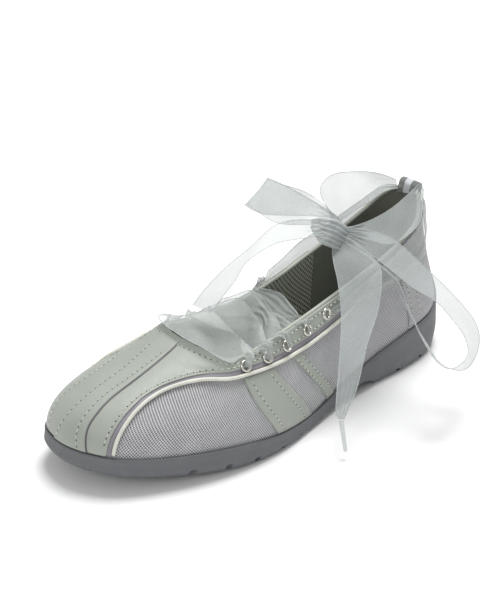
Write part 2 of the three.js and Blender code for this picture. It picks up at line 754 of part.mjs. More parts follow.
// One lacing bar from a lateral to a medial eyelet, arched over the opening
function lacingBar(lateral, medial) {
  const lift = LEATHER_GAP + LEATHER_THICK + GAP + EYELET_HEIGHT + RIBBON_THICK + LACING_LIP;
  const [a, b] = [EYELETS[lateral], EYELETS[medial]];
  const start = skin(a.t, a.v, lift);
  const end = skin(TURN - b.t, b.v, lift);
  const lip = LACING_LIP;
  const path = new THREE.CatmullRomCurve3([start, skin(a.t, 1, lift + lip), start.clone().lerp(end, 0.5),
    skin(TURN - b.t, 1, lift + lip), end]);
  path.points[2].z = Math.max(path.points[1].z, path.points[3].z) + LACING_CROWN;
  const steps = 4;
  const direction = end.clone().sub(start).setZ(0).normalize();
  const across = new THREE.Vector3(-direction.y, direction.x, 0);
  const grid = [];
  for (let i = 0; i <= steps; i += 1) {
    const share = i / steps;
    const half = mix(0.1, 0.3, Math.sin(Math.PI * share)) * RIBBON_WIDTH;
    const p = path.getPointAt(share);
    grid.push([-1, 1].map((k) => p.clone().addScaledVector(across, k * half)));
  }
  return solid(sheet(grid, RIBBON_THICK));
}

// Ribbon laced back and forth across the opening, joined where it crosses
function lacingGeometry() {
  let body = lacingBar(0, 0);
  for (let k = 0; k + 1 < EYELETS.length; k += 1) body = body.add(lacingBar(k, k + 1)).add(lacingBar(k + 1, k));
  return unsolid(body);
}

// Ribbon lying on the outside of the collar from the top eyelet back to the pull loop
function wrapGeometry(side) {
  const lift = 2 * GAP + 0.2 + PIPING_DIAMETER;
  const place = (a, b) => {
    const s = a * (WRAP_ROWS.length - 1);
    const v = mix(along(WRAP_ROWS, 'low', s), along(WRAP_ROWS, 'high', s), b);
    return [side.at(along(WRAP_ROWS, 't', s)), v];
  };
  return overlay(place, 12, 2, lift, RIBBON_THICK);
}

function knotGeometry() {
  const ball = new THREE.SphereGeometry(1, 10, 8);
  ball.scale(KNOT_SIZE.x, KNOT_SIZE.y, KNOT_SIZE.z);
  ball.translate(KNOT.x, KNOT.y, KNOT.z);
  return tidy(ball);
}

// Rolled tip at the end of the tail
function agletGeometry() {
  const tube = new THREE.CylinderGeometry(0.42 * AGLET_DIAMETER, 0.5 * AGLET_DIAMETER, AGLET_LENGTH, 8);
  tube.translate(0, -AGLET_LENGTH / 2, 0);
  const turn = new THREE.Quaternion().setFromUnitVectors(new THREE.Vector3(0, -1, 0), AGLET_LEAN.clone().normalize());
  tube.applyQuaternion(turn);
  tube.translate(AGLET_TOP.x, AGLET_TOP.y, AGLET_TOP.z);
  return tidy(tube);
}

const finish = (color, roughness, metalness = 0) => new THREE.MeshStandardMaterial({ color, roughness, metalness });
const LEATHER = finish(0xb4bbb0, 0.55);
const MESH_CLOTH = finish(0xa9a9b0, 0.85);
const RUBBER = finish(0x6f7377, 0.75);
const LINING = finish(0xaeb4a6, 0.7);
const CORD = finish(0xd8d8cc, 0.5);
const METAL = finish(0xc9c9c6, 0.25, 1);
const WEBBING = finish(0x8f938c, 0.8);
const RIBBON = finish(0xc4cbc8, 0.6);
const TIP = finish(0xd0d4d2, 0.3);

const shoe = new THREE.Group();

function part(name, geometry, material) {
  const mesh = new THREE.Mesh(geometry, material);
  mesh.name = name;
  shoe.add(mesh);
}

part('sole', soleGeometry(), RUBBER);
part('insole', insoleGeometry(), LINING);
part('upper', upperGeometry(), MESH_CLOTH);
part('vamp', vampGeometry(), LEATHER);
part('toe_strip', stripGeometry(), LEATHER);
part('heel_counter', counterGeometry(), MESH_CLOTH);
part('pull_loop', pullLoopGeometry(), WEBBING);
for (const side of SIDES) {
  part(`piping_${side.name}`, pipingGeometry(side), CORD);
  for (const band of BANDS) part(`${band.name}_${side.name}`, bandGeometry(band, side), LEATHER);
  EYELETS.forEach((place, k) => part(`eyelet_${side.name}_${k + 1}`, eyeletGeometry(side, place), METAL));
  part(`ribbon_wrap_${side.name}`, wrapGeometry(side), RIBBON);
}
part('ribbon_lacing', lacingGeometry(), RIBBON);
part('ribbon_return_lateral', ribbonGeometry(RETURN_LATERAL, 2), RIBBON);
part('ribbon_return_medial', ribbonGeometry(RETURN_MEDIAL, 2), RIBBON);
part('ribbon_knot', knotGeometry(), RIBBON);
part('bow_loop_left', ribbonGeometry(LOOP_LEFT, 2), RIBBON);
part('bow_loop_right', ribbonGeometry(LOOP_RIGHT, 2), RIBBON);
part('ribbon_strand', ribbonGeometry(FRONT_STRAND, 2), RIBBON);
part('ribbon_tail', ribbonGeometry(TAIL, 2), RIBBON);
part('aglet', agletGeometry(), TIP);

export default shoe;
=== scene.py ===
"""Lace-up sneaker, left shoe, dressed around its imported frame.

Tables and lengths are in millimetres in the frame's axes: toe toward -Y, lateral side +X, floor at z = 0.
On the skin of the upper, t counts the sections from the toe tip round the lateral side (14 is the heel,
28 the toe again) and v climbs from the sole (0) to the opening edge (1).
"""

import math

import bmesh
import bpy
import numpy as np
from mathutils import Matrix, Vector


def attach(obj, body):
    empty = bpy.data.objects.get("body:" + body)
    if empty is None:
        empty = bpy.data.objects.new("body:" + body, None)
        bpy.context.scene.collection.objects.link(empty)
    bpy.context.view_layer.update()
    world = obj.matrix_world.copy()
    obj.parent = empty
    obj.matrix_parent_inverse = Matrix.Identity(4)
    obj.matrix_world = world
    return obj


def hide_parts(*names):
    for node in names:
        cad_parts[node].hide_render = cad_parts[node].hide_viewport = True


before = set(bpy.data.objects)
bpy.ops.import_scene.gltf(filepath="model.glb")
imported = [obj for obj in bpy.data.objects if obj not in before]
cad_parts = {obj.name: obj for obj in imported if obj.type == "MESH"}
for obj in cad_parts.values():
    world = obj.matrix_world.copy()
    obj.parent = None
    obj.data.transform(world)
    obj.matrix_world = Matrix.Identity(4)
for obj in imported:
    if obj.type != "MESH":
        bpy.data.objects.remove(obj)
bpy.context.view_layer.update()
MM = 0.001

# Driving sizes, the same as the solids'
SOLE_LENGTH = 258.0
BALL_WIDTH = 92.6
COLLAR_HEIGHT = 88.0
RIM_HEIGHT = 20.0
RIM_WALL = 2.2
RIM_INSET = 3.0
RIM_ROUND = 0.5
TREAD_INSET = 3.6
TREAD_ROUND = 1.3
TOE_SPRING = 11.5
SPRING_START = -0.32
SPRING_CURVE = 1.25
HEEL_START = 0.86
HEEL_ROUND = 5.0
WAIST_RISE = 7.2
GROOVE_WIDTH = 3.6
GROOVE_DEPTH = 3.4
GROOVE_TURN = 12.0
UPPER_WALL = 2.0
GAP = 0.3
INSOLE_THICK = 3.0
LEATHER_GAP = 0.56
LEATHER_THICK = 0.9
COUNTER_THICK = 0.8
PIPING_DIAMETER = 2.0
EYELET_DIAMETER = 6.6
EYELET_HOLE = 3.4
EYELET_HEIGHT = 1.1
RING_CLEAR = 0.12
RING_FOOT = 0.12
RING_DEPTH = 2.6
RING_WALL = 0.25
LOOP_WIDTH = 12.0
LOOP_THICK = 1.2
LOOP_RISE = 4.6
RIBBON_WIDTH = 25.0
AGLET_DIAMETER = 2.4
SIDE_RISE = 0.38
SIDE_TURN = 0.74
EDGE_SHARE = 0.985
TOE_SHARES = {"lateral": 0.2, "medial": 0.4}

# Sections: y of half the length, both x of half the ball width, rim and floor of the rim height
SOLE_ROWS = [
    (-1.0, -0.22, -0.22, 1.08, 0.8),
    (-0.965, 0.15, -0.61, 1.04, 0.77),
    (-0.884, 0.44, -0.83, 0.98, 0.71),
    (-0.752, 0.67, -0.95, 0.9, 0.64),
    (-0.589, 0.857, -0.99, 0.82, 0.56),
    (-0.411, 0.97, -0.985, 0.7, 0.45),
    (-0.217, 0.985, -0.9, 0.52, 0.31),
    (0.0, 0.875, -0.71, 0.4, 0.22),
    (0.217, 0.756, -0.613, 0.6, 0.4),
    (0.434, 0.713, -0.624, 0.89, 0.65),
    (0.636, 0.71, -0.665, 1.13, 0.84),
    (0.806, 0.637, -0.626, 1.27, 0.9),
    (0.922, 0.454, -0.443, 1.5, 0.92),
    (0.98, 0.227, -0.227, 2.2, 0.93),
    (1.0, 0.0, 0.0, 2.36, 0.93),
]

# Opening edge: x, y and z lateral, then x, y and z medial
TOP_ROWS = [
    (-0.02, -0.43, 0.64, -0.02, -0.43, 0.64),
    (0.13, -0.43, 0.638, -0.17, -0.426, 0.64),
    (0.28, -0.422, 0.63, -0.3, -0.415, 0.638),
    (0.43, -0.407, 0.616, -0.41, -0.395, 0.634),
    (0.55, -0.38, 0.602, -0.485, -0.357, 0.622),
    (0.594, -0.318, 0.6, -0.507, -0.287, 0.588),
    (0.605, -0.194, 0.62, -0.486, -0.155, 0.575),
    (0.587, -0.015, 0.652, -0.443, 0.015, 0.577),
    (0.54, 0.194, 0.687, -0.41, 0.217, 0.632),
    (0.518, 0.388, 0.738, -0.41, 0.388, 0.692),
    (0.507, 0.58, 0.806, -0.421, 0.58, 0.758),
    (0.443, 0.752, 0.89, -0.4, 0.752, 0.845),
    (0.3, 0.838, 0.964, -0.29, 0.84, 0.942),
    (0.155, 0.886, 0.993, -0.155, 0.886, 0.987),
    (0.0, 0.902, 1.0, 0.0, 0.902, 1.0),
]

# Handles: rise and flare from the sole, drop and slope from the opening edge
HANDLE_ROWS = [
    (0.3, 6, 0.56, 18),
    (0.3, 6, 0.54, 19),
    (0.29, 8, 0.48, 23),
    (0.27, 9, 0.42, 27),
    (0.24, 9, 0.35, 37),
    (0.22, 9, 0.29, 52),
    (0.22, 8, 0.28, 62),
    (0.24, 6, 0.27, 70),
    (0.25, 5, 0.27, 76),
    (0.25, 5, 0.28, 80),
    (0.25, 6, 0.3, 80),
    (0.23, 8, 0.32, 81),
    (0.2, 8, 0.33, 88),
    (0.18, 8, 0.34, 92),
    (0.17, 8, 0.34, 93),
]

# Piping line: t, v, and the t where its rung meets the opening edge
PIPING_ROWS = np.array([
    (1.65, 0.08, 1.3),
    (1.68, 0.24, 1.4),
    (1.7, 0.38, 1.48),
    (1.7, 0.53, 1.56),
    (1.78, 0.64, 1.68),
    (2.05, 0.73, 2.0),
    (2.7, 0.81, 2.7),
    (3.6, 0.86, 3.6),
    (4.8, 0.865, 4.8),
    (5.7, 0.84, 5.7),
    (6.5, 0.81, 6.5),
    (7.3, 0.79, 7.3),
    (8.1, 0.8, 8.1),
    (8.8, 0.86, 8.8),
    (9.3, 0.93, 9.3),
])

# The medial piping starts this many sections farther back and is level with the lateral one from MEETING on
MEDIAL_BACK = 1.7
MEETING = 8.0
SETTLING = 5.0

# Raised strip of the vamp: v, t of its lateral edge, t of its medial edge
STRIP_ROWS = np.array([
    (0.08, 0.8, -0.42),
    (0.25, 0.66, -0.32),
    (0.4, 0.62, -0.3),
    (0.55, 0.56, -0.36),
    (0.7, 0.55, -0.46),
    (0.82, 0.48, -0.75),
    (0.92, 0.34, -1.3),
    (0.98, 0.14, -1.95),
])

# Far seam on the vamp: v and t, counted back from the toe
FAR_SEAM = np.array([
    (0.1, -0.8),
    (0.32, -1.12),
    (0.5, -1.2),
    (0.64, -1.5),
    (0.78, -2.3),
    (0.9, -3.0),
    (0.95, -3.25),
])

# Slanted bands: t of the front edge at the sole and at the piping, then of the back edge
BANDS = {"band_wide": (5.85, 4.95, 6.95, 6.0), "band_narrow": (7.5, 6.6, 7.75, 6.85)}

FLEX_GROOVES = (-0.71, -0.57, -0.44, -0.3, -0.18)
HEEL_GROOVES = (0.63, 0.785)
EYELETS = ((5.0, 0.93), (5.85, 0.912), (6.5, 0.905), (7.15, 0.915), (7.75, 0.93))
COUNTER_START = 10.05
LINING_SEAM = 9.35
CUP_ROWS = ((0.72, 1.5), (0.38, 1.6))
WAIST_ROWS = (
    (-0.074, -1.0),
    (-0.062, 0.35),
    (0.2, 0.62),
    (0.34, 1.0),
    (0.39, 0.75),
    (0.45, 0.2),
    (0.49, -0.1),
    (0.49, -1.0),
)

# Free ribbon as pairs of edge points, the same routes as the solids'
KNOT = np.array((12.0, 44.0, 88.0))
KNOT_SIZE = np.array((6.0, 6.5, 6.0))
RETURN_LATERAL = np.array([
    (6.9, 115.2, 93.2, 8.9, 115.8, 89.9),
    (13, 97, 93, 26, 94, 84),
    (15, 83, 91, 30, 76, 81),
    (16, 67, 90, 29, 62, 81),
    (15, 51.5, 90.5, 19, 50, 86),
])
RETURN_MEDIAL = np.array([
    (-6, 110.5, 92, -4, 109.5, 88),
    (-14, 105, 95, -8, 104.5, 86.5),
    (-24, 99, 95, -12, 97, 81.5),
    (-28, 87, 96.5, -13, 86, 79.5),
    (-25, 73, 97, -11, 74, 79),
    (-15, 58.5, 96.5, -4, 59, 82.5),
    (4, 48, 92.5, 6, 45, 88),
])
LOOP_LEFT = np.array([
    (9, 45, 95.5, 10, 40, 94.5),
    (-4, 42, 101, 1, 31, 93),
    (-13, 33, 109, -6, 15, 97),
    (-22, 27, 113, -17, 8, 104),
    (-26, 29, 111, -22, 11, 102),
    (-24, 37, 106, -19, 20, 96),
    (-15, 48, 101, -11, 37, 92),
    (1, 50.5, 95, 4, 46.5, 92.5),
])
LOOP_RIGHT = np.array([
    (17.5, 48, 91, 18.5, 43, 87.5),
    (30, 62, 87, 39, 50, 77),
    (44, 72, 74, 54, 54, 68),
    (60, 81, 58, 69, 61, 60),
    (73, 84, 45, 83, 63, 50),
    (81, 79, 34, 91, 59, 41),
    (85, 65, 28, 92, 46, 38),
    (80, 51, 34, 90, 36, 44),
    (68, 47, 47, 81, 35, 55),
    (53.5, 50.5, 59, 65.5, 40.5, 65),
    (39.5, 54.5, 71, 47.5, 47.5, 74),
    (18, 50, 83, 19.5, 46, 81),
])
FRONT_STRAND = np.array([
    (9, 38, 94, 13, 37, 90),
    (3, 24, 99, 12, 13, 94),
    (0, 6, 100, 11, -6, 96),
    (0, -12, 92, 11, -23, 93),
    (-2, -26, 85, 12, -33, 86),
    (-4, -37, 77, 10, -41, 78),
    (-6, -44, 70, 7, -45, 71),
])
TAIL = np.array([
    (12, 40, 82, 21, 44, 85.5),
    (20, 32, 78, 34, 46, 81.5),
    (29, 26, 71, 43, 43.5, 76),
    (39, 18, 60, 51, 33, 62),
    (49, 7, 48, 57, 19, 50),
    (58, -4, 34, 64, 4, 33),
    (64, -11, 25, 67, -5, 26),
    (66.5, -11.6, 21, 68, -9.6, 21),
])
AGLET_TOP = np.array((67.4, -10.8, 20.0))
AGLET_LEAN = np.array((0.28, -0.06, -0.96))

# Outline of the tip: depth and share of its radius
TIP_ROWS = (
    (0.0, 0.0),
    (0.0, 0.6),
    (0.0, 0.95),
    (0.25, 1.0),
    (5.0, 0.97),
    (10.0, 0.92),
    (15.2, 0.86),
    (15.8, 0.78),
    (16.0, 0.55),
    (16.0, 0.0),
)

# Camera: turn, tilt and roll in degrees, distance and offsets in millimetres
CAMERA = {"azimuth": 44.2, "elevation": 27.25, "roll": 1.03, "distance": 1055.2, "right": -6.0, "up": 12.96}
CAMERA_AIM = np.array((0.0, 0.0, 45.0))
FOCAL_PIXELS = 2025.4
FRAME_HEIGHT = 600.0
SENSOR = 36.0

UP = np.array((0.0, 0.0, 1.0))
HALF_LENGTH = SOLE_LENGTH / 2
HALF_BALL = BALL_WIDTH / 2
LEATHER_TOP = LEATHER_GAP + LEATHER_THICK
SECTIONS = len(SOLE_ROWS) - 1
TURN = 2 * SECTIONS
SIDES = {"lateral": lambda t: t, "medial": lambda t: TURN - t}
BACK = {"lateral": 0.0, "medial": MEDIAL_BACK}


def paint(red, green, blue):
    """Linear colour from a colour as the eye sees it, 0 to 255."""
    tones = [channel / 255 for channel in (red, green, blue)]
    return tuple(c / 12.92 if c < 0.04045 else ((c + 0.055) / 1.055) ** 2.4 for c in tones)


# Colours
LEATHER_LIGHT = paint(160, 165, 157)
LEATHER_DARK = paint(150, 156, 147)
THREAD_LIGHT = paint(206, 207, 209)
THREAD_DARK = paint(192, 193, 196)
PORE_TONE = paint(108, 105, 108)
SPACER_THREAD = paint(190, 193, 181)
SPACER_PORE = paint(56, 58, 50)
LINING_LIGHT = paint(102, 105, 92)
LINING_DARK = paint(90, 93, 81)
FOOTBED_LIGHT = paint(158, 160, 146)
FOOTBED_DARK = paint(146, 148, 135)
RUBBER_LIGHT = paint(102, 104, 107)
RUBBER_DARK = paint(93, 95, 98)
CORD_LIGHT = paint(214, 214, 204)
CORD_DARK = paint(200, 200, 190)
TRIM_LIGHT = paint(146, 142, 150)
TRIM_DARK = paint(124, 120, 128)
METAL_TONE = paint(214, 212, 204)
THREAD_TONE = paint(206, 210, 200)
THREAD_SHADE = paint(182, 187, 176)
# Needle holes are dark discs of painted shade, standing for the shadow inside each hole
HOLE_SHADE_TONE = paint(70, 74, 66)
WEBBING_TONE = paint(138, 144, 138)
# Painted shade in the grooves between the webbing's ribs
WEBBING_GROOVE_SHADE = paint(96, 102, 97)
WEBBING_WHITE = paint(228, 229, 234)
ORGANZA_LIGHT = paint(180, 186, 185)
ORGANZA_DARK = paint(170, 176, 175)
SELVEDGE_TONE = paint(216, 221, 220)
# Laced and wrapped ribbon: the same organza as the free loops, painted lighter as painted light
LACED_LIT_LIGHT = paint(194, 199, 196)
LACED_LIT_DARK = paint(180, 185, 182)
# Band along the strip's folded lateral edge: grey cloth, darkened with painted shade of the fold
FOLD_SHADE_LIGHT = paint(96, 92, 100)
FOLD_SHADE_DARK = paint(74, 71, 78)
TIP_TONE = paint(206, 211, 209)
FLOOR_TONE = (0.93, 0.93, 0.93)

# Weaves
NOISE_ROUGHNESS = 0.55
PORE_PITCH = 1.25
PORE_ROW = 0.9
SPACER_PITCH = 2.8
SPACER_ROW = 1.7
RIB_SCALE = 0.285

# Light and floor
WORLD_TONE = (1.0, 1.0, 1.0)
WORLD_STRENGTH = 0.5
LAMPS = [
    ("overhead", (-0.15, 0.35, 1.35), (0, 0, 0), 0.8, 18.5),
    ("front", (0.45, -1.2, 0.8), (0, 0, 0.03), 0.6, 3.9),
]
FLOOR_HALF = 4000.0
FLOOR_DROP = 0.05

# Looks of single places
SIDE_CREASE = 0.25
SOLE_SHARP = 38
SHARP = 60
CLOTH_WALL = 1.0
LINING_GAP = 0.08
PANEL_GAP = 0.1
FOOTBED_DISH = 0.8
FOOTBED_ROUND = 1.2
BINDING_RADIUS = 1.15
BINDING_LIGHT = paint(178, 182, 170)
BINDING_DARK = paint(160, 164, 152)
TRIM_CLEAR = (1.0, 4.7)
VAMP_CLEAR = 3.4
STRIP_THICK = 0.75
STRIP_STITCH = (0.8, 2.2)
STITCH_PITCH = 3.2
STITCH_SHARE = 0.6
STITCH_RADIUS = 0.3
STITCH_SINK = 0.08
STITCH_ARCH = (-0.9, 0.35, 0.6, 0.35, -0.9)

# Millimetres of skin for one section at the toe and at the side
TOE_REACH = 8.2
SIDE_REACH = 9.0

HOLE_RADIUS = 0.45
STITCH_INSET = 1.9
THROAT_STITCH = 0.968
VAMP_EDGE = 1.0
EDGE_LINE = (0.25, 0.8)
SELVEDGE_RADIUS = 0.2
PLEAT_MOST = 2.4
RIPPLE = 0.4
BILLOW = 1.1
ORGANZA_ALPHA = 0.58
PLEAT_START = 0.5
SELVEDGE_ALPHA = 0.7
KNOT_ALPHA = 0.72
LACED_ALPHA = 0.6
KNOT_AXES = [((0.62, 0.74, -0.25), 0.66, 0.3), ((-0.2, 0.55, -0.8), 0.62, 1.9)]
KNOT_CLOTH = 44.0

# Fold laid over the knot, as pairs of edge points
KNOT_BAND = np.array([
    (1, 35, 95, 2.5, 33, 91),
    (7, 36, 98, 10.5, 30, 87),
    (14, 41, 97, 16, 34, 84),
    (17, 47, 91, 17, 40, 81),
    (16, 50, 84, 15, 45, 79),
])
FREE_CRISP = 0.7
LACING_CRISP = 1.3
LACED_CRINKLE = 0.5

# Passage of a lace over the edge and down an eyelet: lift and half width
LACE_LIP = (0.995, 3.0, 4.0)
LACE_OUTSIDE = [(2.8, 1.7), (0.8, 1.1), (-3.0, 1.0)]
LACE_INSIDE = [(-3.6, 2.4), (-0.6, 1.3), (2.0, 1.3)]

# Creases of the leather: t, v, lean, length, width and depth, with v counted in millimetres of climb
CREASE_CLIMB = 60
CREASES = [
    (3.2, 0.9, 1.0, 1.2, 1.2, 0.25),
    (-3.2, 0.9, -1.0, 1.2, 1.2, 0.25),
    (4.1, 0.82, 3.0, 0.9, 1.6, 0.25),
    (2.6, 0.66, 2.0, 0.9, 2.4, 0.3),
    (2.0, 0.42, 1.4, 0.8, 2.0, 0.2),
    (-2.4, 0.72, -2.0, 0.8, 2.2, 0.25),
]

# Ribbon outside the collar: t, low v, high v and lift
WRAP_TABLE = np.array([
    (7.75, 0.925, 0.935, 1.5),
    (7.95, 0.905, 0.94, 2.4),
    (8.4, 0.85, 0.955, 2.6),
    (9.2, 0.79, 0.975, 2.6),
    (10.1, 0.75, 0.99, 2.5),
    (11.0, 0.75, 0.995, 2.1),
    (12.0, 0.81, 0.995, 1.8),
    (12.95, 0.93, 0.995, 1.8),
])
# On the inner side it stands up over the edge and bulges forward
MEDIAL_RISE = np.array([
    (7.75, 0.0, 0.0),
    (8.1, 0.05, 3.0),
    (9.2, 0.07, 3.6),
    (10.1, 0.05, 1.6),
    (12.0, 0.04, 0.4),
    (13.0, 0.0, 0.0),
])
WRAP_FOLD = (0.55, 1.1)

# Lacing bars, front to back: the two eyelets, whether each end lies outside, and their edge points
LACING_BARS = {
    "first": (0, 0, True, True, [
        (-25, -50, 57.5, -23, -31, 54),
        (-13, -56.8, 59.6, -15, -26.5, 58),
        (1, -58.8, 59.8, -7, -26.5, 60),
        (13, -58, 59, 4, -29.5, 58.5),
        (23, -56, 56.8, 15, -33.5, 56.5),
        (28.5, -51.5, 55, 26, -36.5, 55.5),
    ]),
    "second": (1, 1, True, True, [
        (-22, -29, 51.5, -22, -6, 53),
        (-12, -29.5, 52.5, -14, -3.5, 57),
        (-1, -28, 53, -5, -8, 59.5),
        (10, -27, 53, 6, -13.5, 59.5),
        (20, -35, 53, 17, -18, 57),
        (28, -37, 52.5, 27, -24.5, 54.5),
    ]),
    "third": (2, 2, True, True, [
        (-20, -14, 50.5, -20, 4, 54),
        (-12, -13, 52, -11, 3, 59.5),
        (-1, -11, 54, -1, 1, 60),
        (9, -11, 55, 8, -3, 59),
        (19, -21, 54, 19, -8, 57.5),
        (27, -24.5, 53.5, 27, -12, 55.5),
    ]),
    "long": (3, 2, True, False, [
        (-20, -20, 45, -20, -14.5, 46.5),
        (-11, -17, 46, -10, -7.5, 50.5),
        (1, -15, 48, 1, -4, 55),
        (12, -10, 52, 11, -1.5, 58),
        (20, -9, 53.5, 19, 0, 57),
        (27, -9, 54, 26, 2.5, 56),
    ]),
    "back": (3, 4, False, True, [
        (-19, 12, 51, -19, 17.5, 54),
        (-10, 8, 52, -9, 14.5, 57.5),
        (1, 3, 53, 3, 11, 60.5),
        (13, -1, 55, 13, 7.5, 59.5),
        (22, -0.5, 56.5, 22, 4, 58.5),
    ]),
    "last": (4, 3, False, False, [
        (-17, 4, 44, -17, 9, 45),
        (-6, 6, 43, -6, 15, 44),
        (8, 9, 45, 8, 19, 47),
        (19, 13, 49, 19, 21, 51),
    ]),
}

# Where both ribbons run through the knot, as a pair of edge points
KNOT_PASS = np.array([(12.0, 46.0, 90.5, 13.5, 43.0, 86.0)])

# Free ribbons: route, rows of points, seed of the folds, real length, far end, and the nodes they stand for
FREE_RIBBONS = {
    "ribbon_first": ([RETURN_LATERAL, KNOT_PASS, LOOP_RIGHT, KNOT_PASS, TAIL], 360, 0.4, 0.41,
                     "fitting", ("ribbon_return_lateral", "bow_loop_right", "ribbon_tail")),
    "ribbon_second": ([RETURN_MEDIAL, KNOT_PASS, LOOP_LEFT, KNOT_PASS, FRONT_STRAND], 320, 1.8, 0.31,
                      "object", ("ribbon_return_medial", "bow_loop_left", "ribbon_strand")),
}


def around(lateral, medial):
    """Closed list of section values: lateral side from toe to heel, then the medial side back."""
    return np.array(list(lateral) + list(medial)[-2:0:-1])


def loop_columns():
    """Every section value as one closed list around the shoe, in millimetres and degrees."""
    sole, top, handle = (np.array(table, float).T for table in (SOLE_ROWS, TOP_ROWS, HANDLE_ROWS))
    columns = {
        "x": (sole[1], sole[2], HALF_BALL),
        "y": (sole[0], sole[0], HALF_LENGTH),
        "rim": (sole[3], sole[3], RIM_HEIGHT),
        "floor": (sole[4], sole[4], RIM_HEIGHT),
        "topX": (top[0], top[3], HALF_BALL),
        "topY": (top[1], top[4], HALF_LENGTH),
        "topZ": (top[2], top[5], COLLAR_HEIGHT),
        "rise": (handle[0], handle[0], COLLAR_HEIGHT),
        "flare": (handle[1], handle[1], 1),
        "drop": (handle[2], handle[2], COLLAR_HEIGHT),
        "slope": (handle[3], handle[3], 1),
    }
    return {name: around(one * size, other * size) for name, (one, other, size) in columns.items()}


LOOP = loop_columns()


def spline(a, b, c, d, f):
    return b + 0.5 * f * (c - a + f * (2 * a - 5 * b + 4 * c - d + f * (3 * (b - c) + d - a)))


def smooth(name, t):
    """Section value at any t, round the closed loop."""
    values = LOOP[name]
    i = np.floor(t).astype(int)
    return spline(*(values[(i + k) % len(values)] for k in (-1, 0, 1, 2)), t - i)


def along(table, s):
    """Rows of an open table at any s, which counts its rows."""
    table = np.asarray(table, float)
    s = np.asarray(s, float)
    last = len(table) - 1
    i = np.clip(np.floor(s).astype(int), 0, last - 1)
    return spline(*(table[np.clip(i + k, 0, last)] for k in (-1, 0, 1, 2)), (s - i)[..., None])


def unit(v):
    return v / np.maximum(np.linalg.norm(v, axis=-1, keepdims=True), 1e-9)


def pair(a, b):
    """Two numbers or grids as arrays of one shape."""
    return np.broadcast_arrays(np.asarray(a, float), np.asarray(b, float))


def circle(axis, turn):
    """Directions round an axis."""
    first = unit(np.cross(axis, UP))
    return np.cos(turn)[:, None] * first + np.sin(turn)[:, None] * np.cross(axis, first)


def mix(a, b, share):
    return a + (b - a) * share


def outline(t, inset, z):
    """Plan outline of the sole, moved inward."""
    step = 0.05
    dx = smooth("x", t + step) - smooth("x", t - step)
    dy = smooth("y", t + step) - smooth("y", t - step)
    outward = unit(np.stack([dy, -dx, 0 * dx], -1))
    edge = np.stack([smooth("x", t), smooth("y", t), z + 0 * t], -1)
    return edge - outward * np.asarray(inset)[..., None]


def skin_point(t, v):
    """Outer skin of the upper."""
    t, v = pair(t, v)
    foot = outline(t, RIM_INSET, smooth("floor", t) + GAP)
    top = np.stack([smooth("topX", t), smooth("topY", t), smooth("topZ", t)], -1)
    inward = unit((top - foot) * (1, 1, 0))
    flare = np.radians(smooth("flare", t))[..., None]
    slope = np.radians(smooth("slope", t))[..., None]
    rise, drop = smooth("rise", t)[..., None], smooth("drop", t)[..., None]
    low = foot + UP * rise * np.cos(flare) - inward * rise * np.sin(flare)
    high = top - UP * drop * np.sin(slope) - inward * drop * np.cos(slope)
    v = v[..., None]
    w = 1 - v
    return foot * w**3 + 3 * low * w * w * v + 3 * high * w * v * v + top * v**3


def skin_normal(t, v):
    step = 0.02
    t, v = pair(t, v)
    across = skin_point(t + step, v) - skin_point(t - step, v)
    climb = skin_point(t, v + step) - skin_point(t, np.maximum(v - step, 0))
    return unit(np.cross(across, climb))


def skin(t, v, lift):
    """Skin moved outward by lift."""
    return skin_point(t, v) + skin_normal(t, v) * np.asarray(lift, float)[..., None]


def skin_share(t, z):
    """Share v where the skin reaches a height."""
    t = np.asarray(t, float)
    low, high = np.zeros_like(t), np.full_like(t, 0.7)
    for _ in range(24):
        middle = (low + high) / 2
        below = skin_point(t, middle)[..., 2] < z
        low, high = np.where(below, middle, low), np.where(below, high, middle)
    return (low + high) / 2


def rim_share(t):
    """Share just above the rim of the sole."""
    t = np.asarray(t, float)
    return skin_share(t, smooth("rim", t) + GAP + 0.2)


def tread_height(y):
    ball, back = SPRING_START * HALF_LENGTH, HEEL_START * HALF_LENGTH
    spring = TOE_SPRING * np.clip((ball - y) / (ball + HALF_LENGTH), 0, None) ** SPRING_CURVE
    heel = HEEL_ROUND * np.clip((y - back) / (HALF_LENGTH - back), 0, None) ** 2
    return spring + heel


def piping(side, s):
    """Piping line of one side: t, v and the t where its rung meets the opening edge."""
    s = np.asarray(s, float)
    back = BACK[side] * np.clip((MEETING - s) / SETTLING, 0, 1)
    return along(PIPING_ROWS, s) + back[..., None] * (1, 0, 1)


def skin_reach(t, v, dt, dv):
    """Millimetres of skin for each unit of t or v."""
    move = skin_point(t + dt, v + dv) - skin_point(t - dt, v - dv)
    return np.linalg.norm(move, axis=-1) / (2 * (dt + dv))


def beside_piping(side, s, distance):
    """Place beside the piping line, moved toward the vamp."""
    step = 0.05
    t, v = piping(side, s)[..., 0], piping(side, s)[..., 1]
    slope = piping(side, s + step) - piping(side, s - step)
    reach_t, reach_v = skin_reach(t, v, step, 0), skin_reach(t, v, 0, step)
    dt, dv = slope[..., 0] * reach_t, slope[..., 1] * reach_v
    run = np.hypot(dt, dv)
    return t - distance * dv / run / reach_t, v + distance * dt / run / reach_v


def piping_share_at(side, t):
    """Share of the piping line above section t, on its long run along the side."""
    s = np.linspace(4, len(PIPING_ROWS) - 1, 300)
    line = piping(side, s)
    return np.interp(t, line[:, 0], line[:, 1])


def lengths(line):
    """Running length along a list of points."""
    return np.concatenate([[0], np.cumsum(np.linalg.norm(np.diff(line, axis=0), axis=1))])


def evenly(line, count):
    """Points at equal spacing along a list of points."""
    run = lengths(line)
    at = np.linspace(0, run[-1], count)
    return np.stack([np.interp(at, run, line[:, k]) for k in range(line.shape[1])], -1)


